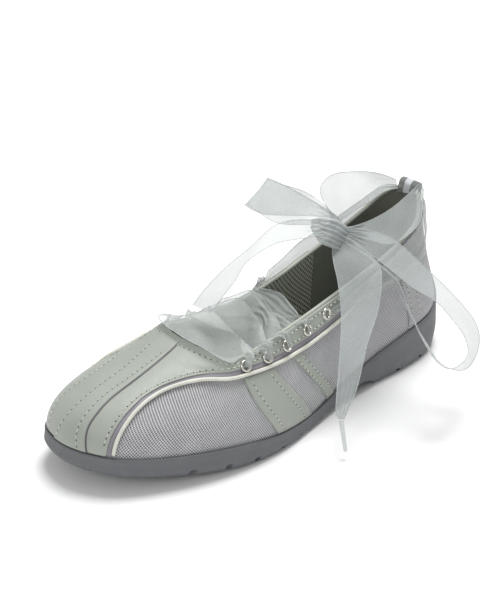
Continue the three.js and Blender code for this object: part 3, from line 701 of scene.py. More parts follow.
def grid_sizes(grid):
    """Texture place of each grid point: real lengths along and across the grid."""
    u, v = np.zeros(grid.shape[:2]), np.zeros(grid.shape[:2])
    u[1:] = np.cumsum(np.linalg.norm(np.diff(grid, axis=0), axis=-1), axis=0)
    v[:, 1:] = np.cumsum(np.linalg.norm(np.diff(grid, axis=1), axis=-1), axis=1)
    middle = u[:, grid.shape[1] // 2][:, None]
    return np.stack([middle + 0 * u, v], -1)


def quads(rows_count, columns, start=0, turn=False):
    index = start + np.arange(rows_count * columns).reshape(rows_count, columns)
    faces = np.stack([index[:-1, :-1], index[1:, :-1], index[1:, 1:], index[:-1, 1:]], -1).reshape(-1, 4)
    return faces[:, ::-1] if turn else faces


class Build:
    """Mesh gathered from grids, then made into one object."""

    def __init__(self, name):
        self.name = name
        self.points, self.places, self.faces, self.slots = [], [], [], []
        self.count = 0

    def grid(self, grid, uv=None, slot=0, turn=False):
        grid = np.asarray(grid, float)
        uv = grid_sizes(grid) if uv is None else uv
        self.faces.append(quads(*grid.shape[:2], self.count, turn))
        self.add(grid.reshape(-1, 3), np.asarray(uv).reshape(-1, 2), slot)

    def add(self, points, uv, slot):
        self.points.append(points)
        self.places.append(uv)
        self.slots.append(np.full(len(self.faces[-1]), slot))
        self.count += len(points)

    def shape(self, points, faces, uv=None, slot=0):
        self.faces.append(np.asarray(faces) + self.count)
        self.add(points, np.zeros((len(points), 2)) if uv is None else uv, slot)

    def object(self, materials, weld=0.004, sharp=None, outward=True):
        mesh = bpy.data.meshes.new(self.name)
        points = np.concatenate(self.points) * MM
        faces = [tuple(face) for block in self.faces for face in block.tolist()]
        mesh.from_pydata(points.tolist(), [], faces)
        mesh.polygons.foreach_set("material_index", np.concatenate(self.slots).astype(np.int32))
        corner = np.zeros(len(mesh.loops), np.int32)
        mesh.loops.foreach_get("vertex_index", corner)
        layer = mesh.uv_layers.new(name="cloth")
        layer.data.foreach_set("uv", np.concatenate(self.places)[corner].astype(np.float32).ravel())
        if weld:
            work = bmesh.new()
            work.from_mesh(mesh)
            bmesh.ops.remove_doubles(work, verts=work.verts, dist=weld * MM)
            bmesh.ops.dissolve_degenerate(work, edges=work.edges, dist=1e-7)
            if outward:
                bmesh.ops.recalc_face_normals(work, faces=work.faces)
            work.to_mesh(mesh)
            work.free()
        mesh.polygons.foreach_set("use_smooth", np.ones(len(mesh.polygons), bool))
        if sharp:
            mesh.set_sharp_from_angle(angle=math.radians(sharp))
        for material in materials if isinstance(materials, (list, tuple)) else [materials]:
            mesh.materials.append(material)
        piece = bpy.data.objects.new(self.name, mesh)
        bpy.context.scene.collection.objects.link(piece)
        return piece


def settle(piece, slot, *nodes):
    """Rides on the body and stands for the CAD nodes named; the slot is not used."""
    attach(piece, "root")
    if nodes:
        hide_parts(*nodes)
    return piece


def cut(piece, cutters, sharp):
    """Cuts closed shapes out of a piece and keeps its edges sharp."""
    for cutter in cutters:
        change = piece.modifiers.new("cut", "BOOLEAN")
        change.operation, change.solver, change.object = "DIFFERENCE", "MANIFOLD", cutter
        graph = bpy.context.evaluated_depsgraph_get()
        mesh = bpy.data.meshes.new_from_object(piece.evaluated_get(graph))
        piece.modifiers.clear()
        old, piece.data = piece.data, mesh
        bpy.data.meshes.remove(old)
        bpy.data.objects.remove(cutter)
    piece.data.set_sharp_from_angle(angle=math.radians(sharp))


BORDER = np.array([0.0, 0.07, 0.25, 0.55, 1.0])


def border_steps(speed0, speed1, count, round0, round1):
    """Shares from 0 to 1, close together at both borders, with the distance to the nearest rounded one."""
    near, far = BORDER * round0, BORDER * round1
    start, end = near[-1] / speed0, 1 - far[-1] / speed1
    inner = np.linspace(0, 1, count)[1:-1]
    share = np.concatenate([
        near / speed0[..., None],
        start[..., None] + inner * (end - start)[..., None],
        1 - far[::-1] / speed1[..., None],
    ], -1)
    rise = np.sqrt(np.clip(1 - (1 - BORDER) ** 2, 0, 1))
    height = np.concatenate([rise, np.ones(count - 2), rise[::-1]])
    return share, height


def patch(place, count_a, count_b, lift, thick, round_a, round_b, relief=None):
    """Closed shell on the skin with rounded borders. place maps two shares to t and v."""
    tiny = 1e-3

    def speed(a0, b0, a1, b1):
        return np.linalg.norm(skin(*place(a1, b1), 0.0) - skin(*place(a0, b0), 0.0), axis=-1) / tiny

    half = np.array([0.5])
    low = 0 * half
    a, high_a = border_steps(speed(low, half, low + tiny, half), speed(low + 1, half, low + 1 - tiny, half),
                             count_a, round_a, round_a)
    a = a[0]
    b, high_b = border_steps(speed(a, 0 * a, a, 0 * a + tiny), speed(a, 0 * a + 1, a, 0 * a + 1 - tiny),
                             count_b, round_b, round_b)
    a_grid = np.broadcast_to(a[:, None], b.shape)
    t, v = place(a_grid, b)
    high = np.minimum(high_a[:, None], high_b[None, :])
    extra = 0 if relief is None else relief(t, v) * high
    return skin(t, v, lift + thick * high + extra), skin(t, v, np.full(b.shape, lift))


def shell(name, top, base, flip=False, uv=None):
    """Closed body between two grids of one size."""
    body = Build(name)
    uv = grid_sizes(top) if uv is None else uv
    body.grid(top, uv, turn=flip)
    body.grid(base, uv, turn=not flip)
    for line in (0, -1):
        body.grid(np.stack([top[line], base[line]]), np.stack([uv[line], uv[line]]))
        body.grid(np.stack([top[:, line], base[:, line]]), np.stack([uv[:, line], uv[:, line]]))
    return body


def tube(body, line, radius, sides, slot=0, taper=0.0, normal=None, closed=False):
    """Round cord along points, added to a body; taper draws both ends to a point."""
    line = np.asarray(line, float)
    tangent = unit(np.gradient(line, axis=0))
    if closed:
        tangent = unit(np.roll(line, -1, 0) - np.roll(line, 1, 0))
    side = np.zeros_like(line)
    guide = UP if normal is None else None
    for k, direction in enumerate(tangent):
        if normal is not None:
            guide = normal[k]
        elif k:
            guide = side[k - 1]
        first = guide - direction * np.dot(guide, direction)
        side[k] = first / max(np.linalg.norm(first), 1e-9)
    other = np.cross(tangent, side)
    run = lengths(line)
    size = np.full(len(line), radius)
    if taper:
        end = np.minimum(run, run[-1] - run) / taper
        size = radius * np.sqrt(np.clip(1 - (1 - np.clip(end, 0, 1)) ** 2, 0.0004, 1))
    turn = np.linspace(0, 2 * math.pi, sides + 1)
    ring = (side[:, None] * np.cos(turn)[None, :, None] + other[:, None] * np.sin(turn)[None, :, None])
    grid = line[:, None] + ring * size[:, None, None]
    uv = np.stack(np.broadcast_arrays(run[:, None], turn[None] * radius), -1)
    if closed:
        grid, uv = np.concatenate([grid, grid[:1]]), np.concatenate([uv, uv[:1] + (run[-1], 0)])
    body.grid(grid, uv, slot, turn=True)
    if not closed:
        for end, back in ((0, False), (-1, True)):
            cap = np.stack([grid[end], np.broadcast_to(line[end], grid[end].shape)])
            body.grid(cap, np.stack([uv[end], uv[end]]), slot, turn=back)
    return body


def stitches(body, line, normal, hole_shades):
    """Thread stitches along a line on a surface, with a dark disc of painted shade for the needle hole in each
    gap.
    """
    run = lengths(line)
    count = max(int(run[-1] / STITCH_PITCH), 1)
    step = run[-1] / count
    height = np.array(STITCH_ARCH) * STITCH_RADIUS - STITCH_SINK

    def at_run(at):
        spot, up = (np.stack([np.interp(at, run, of[:, j]) for j in range(3)], -1) for of in (line, normal))
        return spot, unit(up)

    for k in range(count):
        ends = (k + 0.5 - STITCH_SHARE / 2) * step, (k + 0.5 + STITCH_SHARE / 2) * step
        path, up = at_run(np.linspace(*ends, len(height)))
        tube(body, path + up * height[:, None], STITCH_RADIUS, 5, taper=0.3, normal=up)
        spot, up = at_run(np.array([k * step]))
        dent(hole_shades, spot[0], up[0], HOLE_RADIUS)


def dent(body, centre, normal, radius):
    """Painted shade of a needle hole: a small dark disc flush with the leather."""
    guide = np.array((1.0, 0, 0)) if abs(normal[0]) < 0.8 else np.array((0, 1.0, 0))
    first = unit(np.cross(normal, guide))
    second = np.cross(normal, first)
    turn = np.linspace(0, 2 * math.pi, 7)[:-1]
    rim = centre + radius * (np.cos(turn)[:, None] * first + np.sin(turn)[:, None] * second)
    points = np.concatenate([rim + 0.03 * normal, rim - 0.2 * normal])
    faces = [(k, (k + 1) % 6, 6 + (k + 1) % 6, 6 + k) for k in range(6)]
    faces += [(0, 3, 2, 1), (0, 5, 4, 3), (6, 7, 8, 9), (6, 9, 10, 11)]
    body.shape(points, faces)


class Finish:
    """One material with its nodes."""

    def __init__(self, name, base, roughness, **sockets):
        self.made = bpy.data.materials.new(name)
        self.made.use_nodes = True
        self.tree = self.made.node_tree
        self.shader = self.tree.nodes["Principled BSDF"]
        self.shader.inputs["Base Color"].default_value = (*base, 1)
        self.shader.inputs["Roughness"].default_value = roughness
        for socket, value in sockets.items():
            self.shader.inputs[socket.replace("_", " ")].default_value = value

    def node(self, kind, **settings):
        made = self.tree.nodes.new("ShaderNode" + kind)
        for name, value in settings.items():
            setattr(made, name, value)
        return made

    def link(self, source, target):
        self.tree.links.new(source, target)

    def place(self):
        """Position on the object in metres."""
        return self.node("TexCoord").outputs["Object"]

    def cloth(self):
        """Position along the cloth in millimetres."""
        return self.node("UVMap", uv_map="cloth").outputs["UV"]

    def noise(self, scale, detail):
        made = self.node("TexNoise")
        for socket, number in (("Scale", scale), ("Detail", detail), ("Roughness", NOISE_ROUGHNESS)):
            made.inputs[socket].default_value = number
        self.link(self.place(), made.inputs["Vector"])
        return made.outputs["Fac"]

    def clouds(self, scale, detail, *limits):
        """Noise with its range spread out."""
        return self.remap(self.noise(scale, detail), *limits)

    def cells(self, scale):
        """Distance to the edge of leather-like cells."""
        made = self.node("TexVoronoi", feature="DISTANCE_TO_EDGE")
        made.inputs["Scale"].default_value = scale
        self.link(self.place(), made.inputs["Vector"])
        return made.outputs["Distance"]

    def pores(self, pitch, row, low, high):
        """Cloth around staggered pores: 0 in a pore and 1 on the threads."""
        stretch, twist = self.node("Mapping"), self.node("Mapping")
        stretch.inputs["Scale"].default_value = (math.sqrt(2) / pitch, math.sqrt(2) / (2 * row), 1)
        twist.inputs["Rotation"].default_value = (0, 0, math.radians(45))
        made = self.node("TexVoronoi", voronoi_dimensions="2D")
        for socket, number in (("Scale", 1), ("Randomness", 0)):
            made.inputs[socket].default_value = number
        self.link(self.cloth(), stretch.inputs["Vector"])
        self.link(stretch.outputs["Vector"], twist.inputs["Vector"])
        self.link(twist.outputs["Vector"], made.inputs["Vector"])
        return self.remap(made.outputs["Distance"], low, high)

    def waves(self, scale, direction):
        made = self.node("TexWave", bands_direction=direction)
        made.inputs["Scale"].default_value = scale
        self.link(self.cloth(), made.inputs["Vector"])
        return made.outputs["Fac"]

    def remap(self, value, low, high, to_low=0.0, to_high=1.0):
        made = self.node("MapRange")
        for socket, number in zip(("From Min", "From Max", "To Min", "To Max"), (low, high, to_low, to_high)):
            made.inputs[socket].default_value = number
        self.link(value, made.inputs["Value"])
        return made.outputs["Result"]

    def maths(self, operation, first, second):
        made = self.node("Math", operation=operation)
        for socket, value in zip(made.inputs, (first, second)):
            if isinstance(value, (int, float)):
                socket.default_value = value
            else:
                self.link(value, socket)
        return made.outputs["Value"]

    def blend(self, share, first, second):
        """Colour between two others, each a colour or a node's output."""
        made = self.node("Mix", data_type="RGBA")
        self.link(share, made.inputs["Factor"])
        for name, value in (("A_Color", first), ("B_Color", second)):
            socket = next(item for item in made.inputs if item.identifier == name)
            if isinstance(value, tuple):
                socket.default_value = (*value, 1)
            else:
                self.link(value, socket)
        return next(item for item in made.outputs if item.identifier == "Result_Color")

    def colour(self, share, dark, light):
        self.link(self.blend(share, dark, light), self.shader.inputs["Base Color"])

    def rough(self, source):
        self.link(source, self.shader.inputs["Roughness"])

    def bump(self, *layers):
        """Relief from layers of height, each with its depth in millimetres."""
        below = None
        for height, depth in layers:
            made = self.node("Bump")
            made.inputs["Strength"].default_value = 1.0
            made.inputs["Distance"].default_value = depth * MM
            self.link(height, made.inputs["Height"])
            if below:
                self.link(below, made.inputs["Normal"])
            below = made.outputs["Normal"]
        self.link(below, self.shader.inputs["Normal"])


def leather():
    finish = Finish("leather", LEATHER_LIGHT, 0.46, Coat_Weight=0.12, Coat_Roughness=0.3)
    finish.colour(finish.clouds(34, 4, 0.32, 0.7), LEATHER_DARK, LEATHER_LIGHT)
    finish.rough(finish.clouds(260, 3, 0.3, 0.7, 0.4, 0.54))
    grain = finish.remap(finish.cells(1500), 0.0, 0.14)
    finish.bump((grain, 0.035), (finish.noise(120, 4), 0.16), (finish.noise(3600, 2), 0.02))
    return finish.made


def knit(name, low, high, ribs=False):
    """Knitted mesh: pale threads round staggered pores, drawn into ribs where it covers the heel, with painted
    shade in the troughs between the ribs.
    """
    finish = Finish(name, THREAD_LIGHT, 0.78, Sheen_Weight=0.25, Sheen_Roughness=0.5)
    cover = finish.pores(PORE_PITCH, PORE_ROW, low, high)
    relief = (finish.noise(2400, 2), 0.03)
    if ribs:
        # Painted shade: the rib wave pulls the colour toward the pore tone in the troughs between the ribs
        shade = finish.remap(finish.waves(RIB_SCALE, "Y"), 0.0, 0.6, 0.35, 1.0)
        cover = finish.maths("MULTIPLY", cover, shade)
        layers = [(cover, 0.3), relief]
    else:
        layers = [(cover, 0.3), (finish.waves(2.2, "DIAGONAL"), 0.03), relief]
    threads = finish.blend(finish.clouds(90, 3, 0.35, 0.65), THREAD_DARK, THREAD_LIGHT)
    finish.colour(cover, PORE_TONE, threads)
    finish.bump(*layers)
    return finish.made


def spacer_cloth():
    """Thick lining mesh with deep diamond pores."""
    finish = Finish("spacer_cloth", SPACER_THREAD, 0.8, Sheen_Weight=0.2)
    cover = finish.pores(SPACER_PITCH, SPACER_ROW, 0.26, 0.36)
    finish.colour(cover, SPACER_PORE, SPACER_THREAD)
    finish.bump((cover, 0.6), (finish.noise(1500, 2), 0.05))
    return finish.made


def plain_cloth(name, light, dark, roughness=0.75, relief=0.05):
    """Close-woven cloth or suede-like lining."""
    finish = Finish(name, light, roughness, Sheen_Weight=0.3, Sheen_Roughness=0.6)
    finish.colour(finish.clouds(70, 5, 0.3, 0.7), dark, light)
    finish.bump((finish.noise(900, 4), relief), (finish.noise(60, 3), 0.25))
    return finish.made


def rubber():
    finish = Finish("rubber", RUBBER_LIGHT, 0.62)
    finish.colour(finish.clouds(40, 5, 0.3, 0.7), RUBBER_DARK, RUBBER_LIGHT)
    finish.rough(finish.clouds(300, 4, 0.3, 0.7, 0.55, 0.7))
    finish.bump((finish.noise(1300, 4), 0.035), (finish.noise(140, 3), 0.08))
    return finish.made


def cord_cover():
    """Satin covering of the piping."""
    finish = Finish("cord_cover", CORD_LIGHT, 0.42, Coat_Weight=0.1, Coat_Roughness=0.35)
    finish.colour(finish.clouds(150, 3, 0.35, 0.65), CORD_DARK, CORD_LIGHT)
    finish.bump((finish.noise(900, 3), 0.04))
    return finish.made


def metal():
    finish = Finish("eyelet_metal", METAL_TONE, 0.22, Metallic=1.0)
    finish.rough(finish.clouds(900, 3, 0.3, 0.7, 0.16, 0.32))
    finish.bump((finish.noise(500, 2), 0.015))
    return finish.made


def thread(name, light, dark):
    finish = Finish(name, light, 0.6, Sheen_Weight=0.3)
    finish.colour(finish.clouds(700, 3, 0.3, 0.7), dark, light)
    finish.bump((finish.noise(3000, 2), 0.04))
    return finish.made


def webbing():
    """Ribbed tape with a white band down its middle, and painted shade in the grooves between its ribs."""
    finish = Finish("webbing", WEBBING_TONE, 0.7, Sheen_Weight=0.3)
    parts = finish.node("SeparateXYZ")
    finish.link(finish.cloth(), parts.inputs["Vector"])
    from_middle = finish.maths("ABSOLUTE", finish.maths("SUBTRACT", parts.outputs["Y"], LOOP_WIDTH / 2), 0.0)
    ribs = finish.waves(1.15, "X")
    # Painted shade: the low parts of the rib wave, which are also its bumped grooves, take the darker tone
    tone = finish.blend(finish.remap(ribs, 0.1, 0.6), WEBBING_GROOVE_SHADE, WEBBING_TONE)
    finish.colour(finish.remap(from_middle, 2.0, 2.3, 1.0, 0.0), tone, WEBBING_WHITE)
    finish.bump((ribs, 0.16), (finish.noise(2500, 2), 0.03))
    return finish.made


def organza(name, alpha, light=ORGANZA_LIGHT, dark=ORGANZA_DARK, crinkle=0.12):
    """Sheer crisp ribbon: see-through cloth with a fine shimmer."""
    finish = Finish(name, light, 0.5, Sheen_Weight=0.1, Sheen_Roughness=0.35, Specular_IOR_Level=0.2)
    fine = finish.noise(1400, 3)
    patches = finish.clouds(55, 4, 0.3, 0.7, -0.04, 0.04)
    share = finish.maths("ADD", patches, finish.remap(fine, 0.3, 0.7, -0.012, 0.012))
    finish.link(finish.maths("ADD", share, alpha), finish.shader.inputs["Alpha"])
    finish.colour(finish.remap(fine, 0.35, 0.65), dark, light)
    finish.bump((fine, 0.012), (finish.noise(300, 3), crinkle))
    return finish.made


def tip_plastic():
    finish = Finish("tip_plastic", TIP_TONE, 0.28, Coat_Weight=0.3, Coat_Roughness=0.15)
    finish.bump((finish.noise(600, 3), 0.05))
    return finish.made


def make_camera():
    turn, tilt, roll = (math.radians(CAMERA[name]) for name in ("azimuth", "elevation", "roll"))
    back = Vector((math.sin(turn) * math.cos(tilt), -math.cos(turn) * math.cos(tilt), math.sin(tilt)))
    level = Vector((math.cos(turn), math.sin(turn), 0))
    upright = back.cross(level)
    right = level * math.cos(roll) + upright * math.sin(roll)
    up = upright * math.cos(roll) - level * math.sin(roll)
    place = Vector(CAMERA_AIM) + back * CAMERA["distance"] + right * CAMERA["right"] + up * CAMERA["up"]
    data = bpy.data.cameras.new("camera")
    data.sensor_fit, data.sensor_height = "VERTICAL", SENSOR
    data.lens = FOCAL_PIXELS * SENSOR / FRAME_HEIGHT
    camera = bpy.data.objects.new("camera", data)
    camera.matrix_world = Matrix.Translation(place * MM) @ Matrix((right, up, back)).transposed().to_4x4()
    bpy.context.scene.collection.objects.link(camera)
    bpy.context.scene.camera = camera


def make_light():
    world = bpy.data.worlds.new("studio")
    world.use_nodes = True
    sky = world.node_tree.nodes["Background"].inputs
    sky["Color"].default_value = (*WORLD_TONE, 1)
    sky["Strength"].default_value = WORLD_STRENGTH
    bpy.context.scene.world = world
    for name, place, aim, size, power in LAMPS:
        data = bpy.data.lights.new(name, "AREA")
        data.shape, data.size, data.energy = "DISK", size, power
        lamp = bpy.data.objects.new(name, data)
        lamp.location = place
        lamp.rotation_euler = (Vector(aim) - Vector(place)).to_track_quat("-Z", "Y").to_euler()
        bpy.context.scene.collection.objects.link(lamp)
    bpy.context.scene.view_settings.view_transform = "Standard"


def make_floor():
    body = Build("floor")
    body.shape(np.array([(-1, -1, 0), (1, -1, 0), (1, 1, 0), (-1, 1, 0)]) * FLOOR_HALF, [(0, 1, 2, 3)])
    finish = Finish("floor", FLOOR_TONE, 0.9, Specular_IOR_Level=0.0)
    floor = body.object(finish.made, weld=0, outward=False)
    floor.location.z = -FLOOR_DROP * MM


def ring_shares(count):
    return np.arange(count + 1) / count * TURN


def side_rungs(line, count):
    """Rungs between the lateral and medial halves of a closed ring of points."""
    half = (len(line) - 1) // 2
    lateral = line[:half + 1]
    medial = line[::-1][:half + 1]
    share = np.linspace(0, 1, count)[None, :, None]
    return lateral[:, None] + (medial - lateral)[:, None] * share


def soften(corners, cuts, steps):
    """Rounds the inner corners of a profile; cuts says how much of each leg the rounding takes."""
    out = [corners[0]]
    for k in range(1, len(corners) - 1):
        before, corner, after = corners[k - 1], corners[k], corners[k + 1]
        start, end = (corner + (leg - corner) * cuts[k - 1] / 2 for leg in (before, after))
        for f in np.linspace(0, 1, steps):
            out.append(start * (1 - f) ** 2 + 2 * corner * f * (1 - f) + end * f * f)
    out.append(corners[-1])
    return out


def with_height(points, z):
    points = points.copy()
    points[..., 2] = z
    return points


def sole_profile(t):
    rim = smooth("rim", t)
    base = tread_height(outline(t, TREAD_INSET, 0)[..., 1])
    wall = rim - base
    rim_v = skin_share(t, rim)
    turn_v = skin_share(t, base + SIDE_TURN * wall)
    corners = [
        outline(t, TREAD_INSET, base),
        outline(t, TREAD_ROUND, base + TREAD_ROUND),
        outline(t, 0.1, base + SIDE_RISE * wall),
        skin(t, turn_v, RIM_WALL),
        with_height(skin(t, rim_v, RIM_WALL), rim - RIM_ROUND),
    ]
    side = soften(corners, (0.7, SIDE_CREASE, 0.7), 5)
    middle, half = (RIM_WALL + GAP) / 2, (RIM_WALL - GAP) / 2
    lip = []
    for angle in np.linspace(0.15, 1, 6) * math.pi:
        edge = skin(t, rim_v, middle + half * math.cos(angle))
        lip.append(with_height(edge, rim - RIM_ROUND + RIM_ROUND * math.sin(angle)))
    cup = [skin(t, climb * rim_v, gaps * GAP) for climb, gaps in CUP_ROWS]
    floor = with_height(skin(t, 0 * t, GAP), smooth("floor", t))
    return np.stack(side + lip + cup + [floor], 1)


def bar_shape(share):
    """Outline and reach of a rounded bar across the tread, cut out as a flex groove."""
    turn = math.radians(GROOVE_TURN if share < 0 else -GROOVE_TURN)
    across = np.array((-math.sin(turn), math.cos(turn), 0))
    y = share * HALF_LENGTH
    centre = np.array((0, y, tread_height(np.array(y))))
    half, deep = GROOVE_WIDTH / 2, GROOVE_DEPTH
    side = [(-half * 1.25, -deep), (half * 1.25, -deep), (half * 1.05, 0), (half, 0.55 * deep)]
    turns = np.linspace(0.1, 0.9, 7) * math.pi
    side += [(half * math.cos(a), (0.65 + 0.35 * math.sin(a)) * deep) for a in turns]
    side += [(-half, 0.55 * deep), (-half * 1.05, 0)]
    reach = np.array((math.cos(turn), math.sin(turn), 0)) * BALL_WIDTH
    return np.array([centre + across * a + UP * b for a, b in side]), reach


def prism(body, ring, reach):
    """Closed body swept from an outline both ways."""
    ends = np.concatenate([ring - reach, ring + reach])
    count = len(ring)
    faces = [tuple(range(count))[::-1], tuple(range(count, 2 * count))]
    faces += [(k, (k + 1) % count, count + (k + 1) % count, count + k) for k in range(count)]
    for face in faces:
        body.shape(ends, [face])
    return body


def waist_shape():
    """Outline and reach of the raised waist."""
    rows = np.array(WAIST_ROWS)
    side = np.array(soften(rows, np.ones(len(rows) - 2), 5)) * (HALF_LENGTH, WAIST_RISE)
    return np.stack([0 * side[:, 0], side[:, 0], side[:, 1]], -1), np.array((BALL_WIDTH, 0, 0))


def make_sole():
    t = ring_shares(252)
    side = sole_profile(t)
    body = Build("sole_rubber")
    body.grid(side)
    body.grid(side_rungs(side[:, 0], 9), turn=True)
    body.grid(side_rungs(side[:, -1], 9))
    sole = body.object(rubber())
    shapes = [waist_shape()] + [bar_shape(share) for share in FLEX_GROOVES + HEEL_GROOVES]
    cut(sole, [prism(Build("groove"), *shape).object([], weld=0.002) for shape in shapes], SOLE_SHARP)
    settle(sole, "sole_rubber", "sole")


def make_footbed():
    t = ring_shares(168)
    inset = RIM_INSET + UPPER_WALL + 2.4 * GAP
    low = smooth("floor", t) + GAP
    rows = [outline(t, inset, low)]
    for angle in np.linspace(0, 0.5, 5) * math.pi:
        high = low + INSOLE_THICK - FOOTBED_ROUND * (1 - math.sin(angle))
        rows.append(outline(t, inset + FOOTBED_ROUND * (1 - math.cos(angle)), high))
    side = np.stack(rows, 1)
    body = Build("footbed_cloth")
    body.grid(side)
    body.grid(side_rungs(side[:, 0], 7), turn=True)
    top = side_rungs(side[:, -1], 15)
    cradle = np.linspace(-1, 1, 15)[None, :] ** 2
    top[..., 2] += FOOTBED_DISH * (cradle - 1)
    body.grid(top)
    cover = plain_cloth("footbed_cloth", FOOTBED_LIGHT, FOOTBED_DARK, 0.7, 0.04)
    settle(body.object(cover), "footbed", "insole")


def drills(radius):
    """Every lace hole as one cutter."""
    body = Build("drills")
    turn = np.linspace(0, 2 * math.pi, 25)[:-1]
    for side in SIDES.values():
        for t, v in EYELETS:
            out = skin_normal(side(t), v)
            prism(body, skin(side(t), v, 0.0) + radius * circle(out, turn), out * 4)
    return body.object([], weld=0.002)


def wall(name, shares, climb, outer, inner):
    """Closed wall on the skin over a stretch of sections, between two lifts."""
    t, v = pair(shares[:, None], climb[None])
    top, base = skin(t, v, outer), skin(t, v, inner)
    base[:, 0, 2] = top[:, 0, 2]
    return shell(name, top, base)


def make_upper():
    climb = np.concatenate([np.linspace(0, 0.9, 22), (0.93, 0.96, 0.98, 0.992, 1.0)])
    t, v = pair(ring_shares(280)[:, None], climb[None])
    outer, inner = skin(t, v, 0.0), skin(t, v, -CLOTH_WALL)
    inner[:, 0, 2] = outer[:, 0, 2]
    uv = grid_sizes(outer)
    body = Build("upper_mesh")
    body.grid(outer, uv)
    body.grid(inner, uv, turn=True)
    for line, turn in ((-1, False), (0, True)):
        edge, places = [outer[:, line], inner[:, line]], [uv[:, line], uv[:, line]]
        body.grid(np.stack(edge, 1), np.stack(places, 1), turn=turn)
    piece = body.object(knit("mesh_cloth", 0.25, 0.43))
    cut(piece, [drills(EYELET_HOLE / 2)], SHARP)
    settle(piece, "mesh_cloth", "upper")


def make_lining():
    climb = np.concatenate([np.linspace(0.01, 0.9, 18), (0.95, 0.985)])
    overlap = 0.05
    outer, inner = -CLOTH_WALL - LINING_GAP, -UPPER_WALL
    front = wall("lining_front", np.linspace(-LINING_SEAM, LINING_SEAM, 150), climb, outer, inner)
    piece = front.object(spacer_cloth())
    cut(piece, [drills(EYELET_HOLE / 2)], 50)
    settle(piece, "mesh_cloth")
    stretch = np.linspace(LINING_SEAM - overlap, TURN - LINING_SEAM + overlap, 90)
    back = wall("lining_back", stretch, climb, outer, inner - 0.12)
    settle(back.object(plain_cloth("lining_cloth", LINING_LIGHT, LINING_DARK), sharp=50), "footbed")


def make_binding():
    """Narrow bound edge round the opening."""
    t = ring_shares(280)[:-1]
    body = Build("collar_binding")
    tube(body, skin(t, 0 * t + 1.0, -UPPER_WALL / 2), BINDING_RADIUS, 10, closed=True)
    cover = plain_cloth("binding_cloth", BINDING_LIGHT, BINDING_DARK, 0.6, 0.04)
    settle(body.object(cover), "smooth_leather")


def vamp_place(clear):
    last = len(PIPING_ROWS) - 1
    toes = {side: beside_piping(side, np.array(0.0), clear)[0] for side in SIDES}
    tops = {side: piping(side, 0.0)[2] for side in SIDES}

    def place(a, b):
        a, b = pair(a, b)
        run = np.abs(2 * a - 1)
        found_t, found_v = 0 * a, 0 * a
        for name, turn in (("lateral", 1.0), ("medial", -1.0)):
            toe_share = TOE_SHARES[name]
            share = np.clip(run / toe_share, 0, 1)
            s = np.clip((run - toe_share) / (1 - toe_share), 0, 1) * last
            t, v = beside_piping(name, s, clear)
            t = np.where(share < 1, toes[name] * share, t)
            low = np.maximum(np.where(share < 1, 0, v), rim_share(turn * t))
            top_t = np.where(share < 1, tops[name] * share, np.minimum(piping(name, s)[..., 2], t))
            here = (a >= 0.5) == (turn > 0)
            found_t = np.where(here, turn * mix(t, top_t, b), found_t)
            found_v = np.where(here, mix(low, VAMP_EDGE, b), found_v)
        return found_t, found_v
    return place


def make_vamp(skin_leather):
    top, base = patch(vamp_place(VAMP_CLEAR), 200, 34, LEATHER_GAP, LEATHER_THICK, 0.6, 0.6, vamp_folds)
    piece = shell("vamp_leather", top, base).object(skin_leather)
    cut(piece, [drills(EYELET_HOLE / 2 + 0.1)], 55)
    settle(piece, "smooth_leather", "vamp")


def vamp_folds(t, v):
    """Creases of the leather, each a soft trough with a ridge beside it."""
    height = 0 * t
    for crease_t, crease_v, lean, length, width, depth in CREASES:
        across = (v - crease_v) * CREASE_CLIMB - (t - crease_t) * lean
        trough = np.exp(-(across / width) ** 2)
        ridge = 0.7 * np.exp(-((across - 1.6 * width) / (1.3 * width)) ** 2)
        height += depth * np.exp(-((t - crease_t) / length) ** 2) * (ridge - trough)
    return height


def smooth_rows(rows, count):
    """Finer rows of a table through its own rows."""
    return along(rows, np.linspace(0, len(rows) - 1, count))


def make_strip(skin_leather):
    fine = smooth_rows(STRIP_ROWS, 60)

    def place(a, b):
        v = mix(fine[0, 0], fine[-1, 0], b)
        t = mix(np.interp(v, fine[:, 0], fine[:, 2]), np.interp(v, fine[:, 0], fine[:, 1]), a)
        return t, np.maximum(v, rim_share(t))

    top, base = patch(place, 26, 110, LEATHER_TOP - 0.05, STRIP_THICK, 0.45, 0.3)
    settle(shell("strip_leather", top, base).object(skin_leather, sharp=SHARP), "smooth_leather", "toe_strip")

    def edge_place(a, b):
        v = mix(fine[0, 0], fine[-4, 0], a)
        reach = np.linalg.norm(skin_point(0.5, v) - skin_point(0.4, v), axis=-1) / 0.1
        t = np.interp(v, fine[:, 0], fine[:, 1]) + mix(-EDGE_LINE[0], EDGE_LINE[1], b) / reach
        return t, np.maximum(v, rim_share(t))

    # Dark band along the folded lateral edge: grey cloth, darkened with painted shade of the fold
    top, base = patch(edge_place, 110, 4, LEATHER_TOP - 0.1, 0.32, 0.2, 0.25)
    fold = plain_cloth("fold_cloth_shade", FOLD_SHADE_LIGHT, FOLD_SHADE_DARK, 0.7, 0.08)
    settle(shell("strip_fold_shade", top, base, flip=True).object(fold, sharp=SHARP), "mesh_cloth")


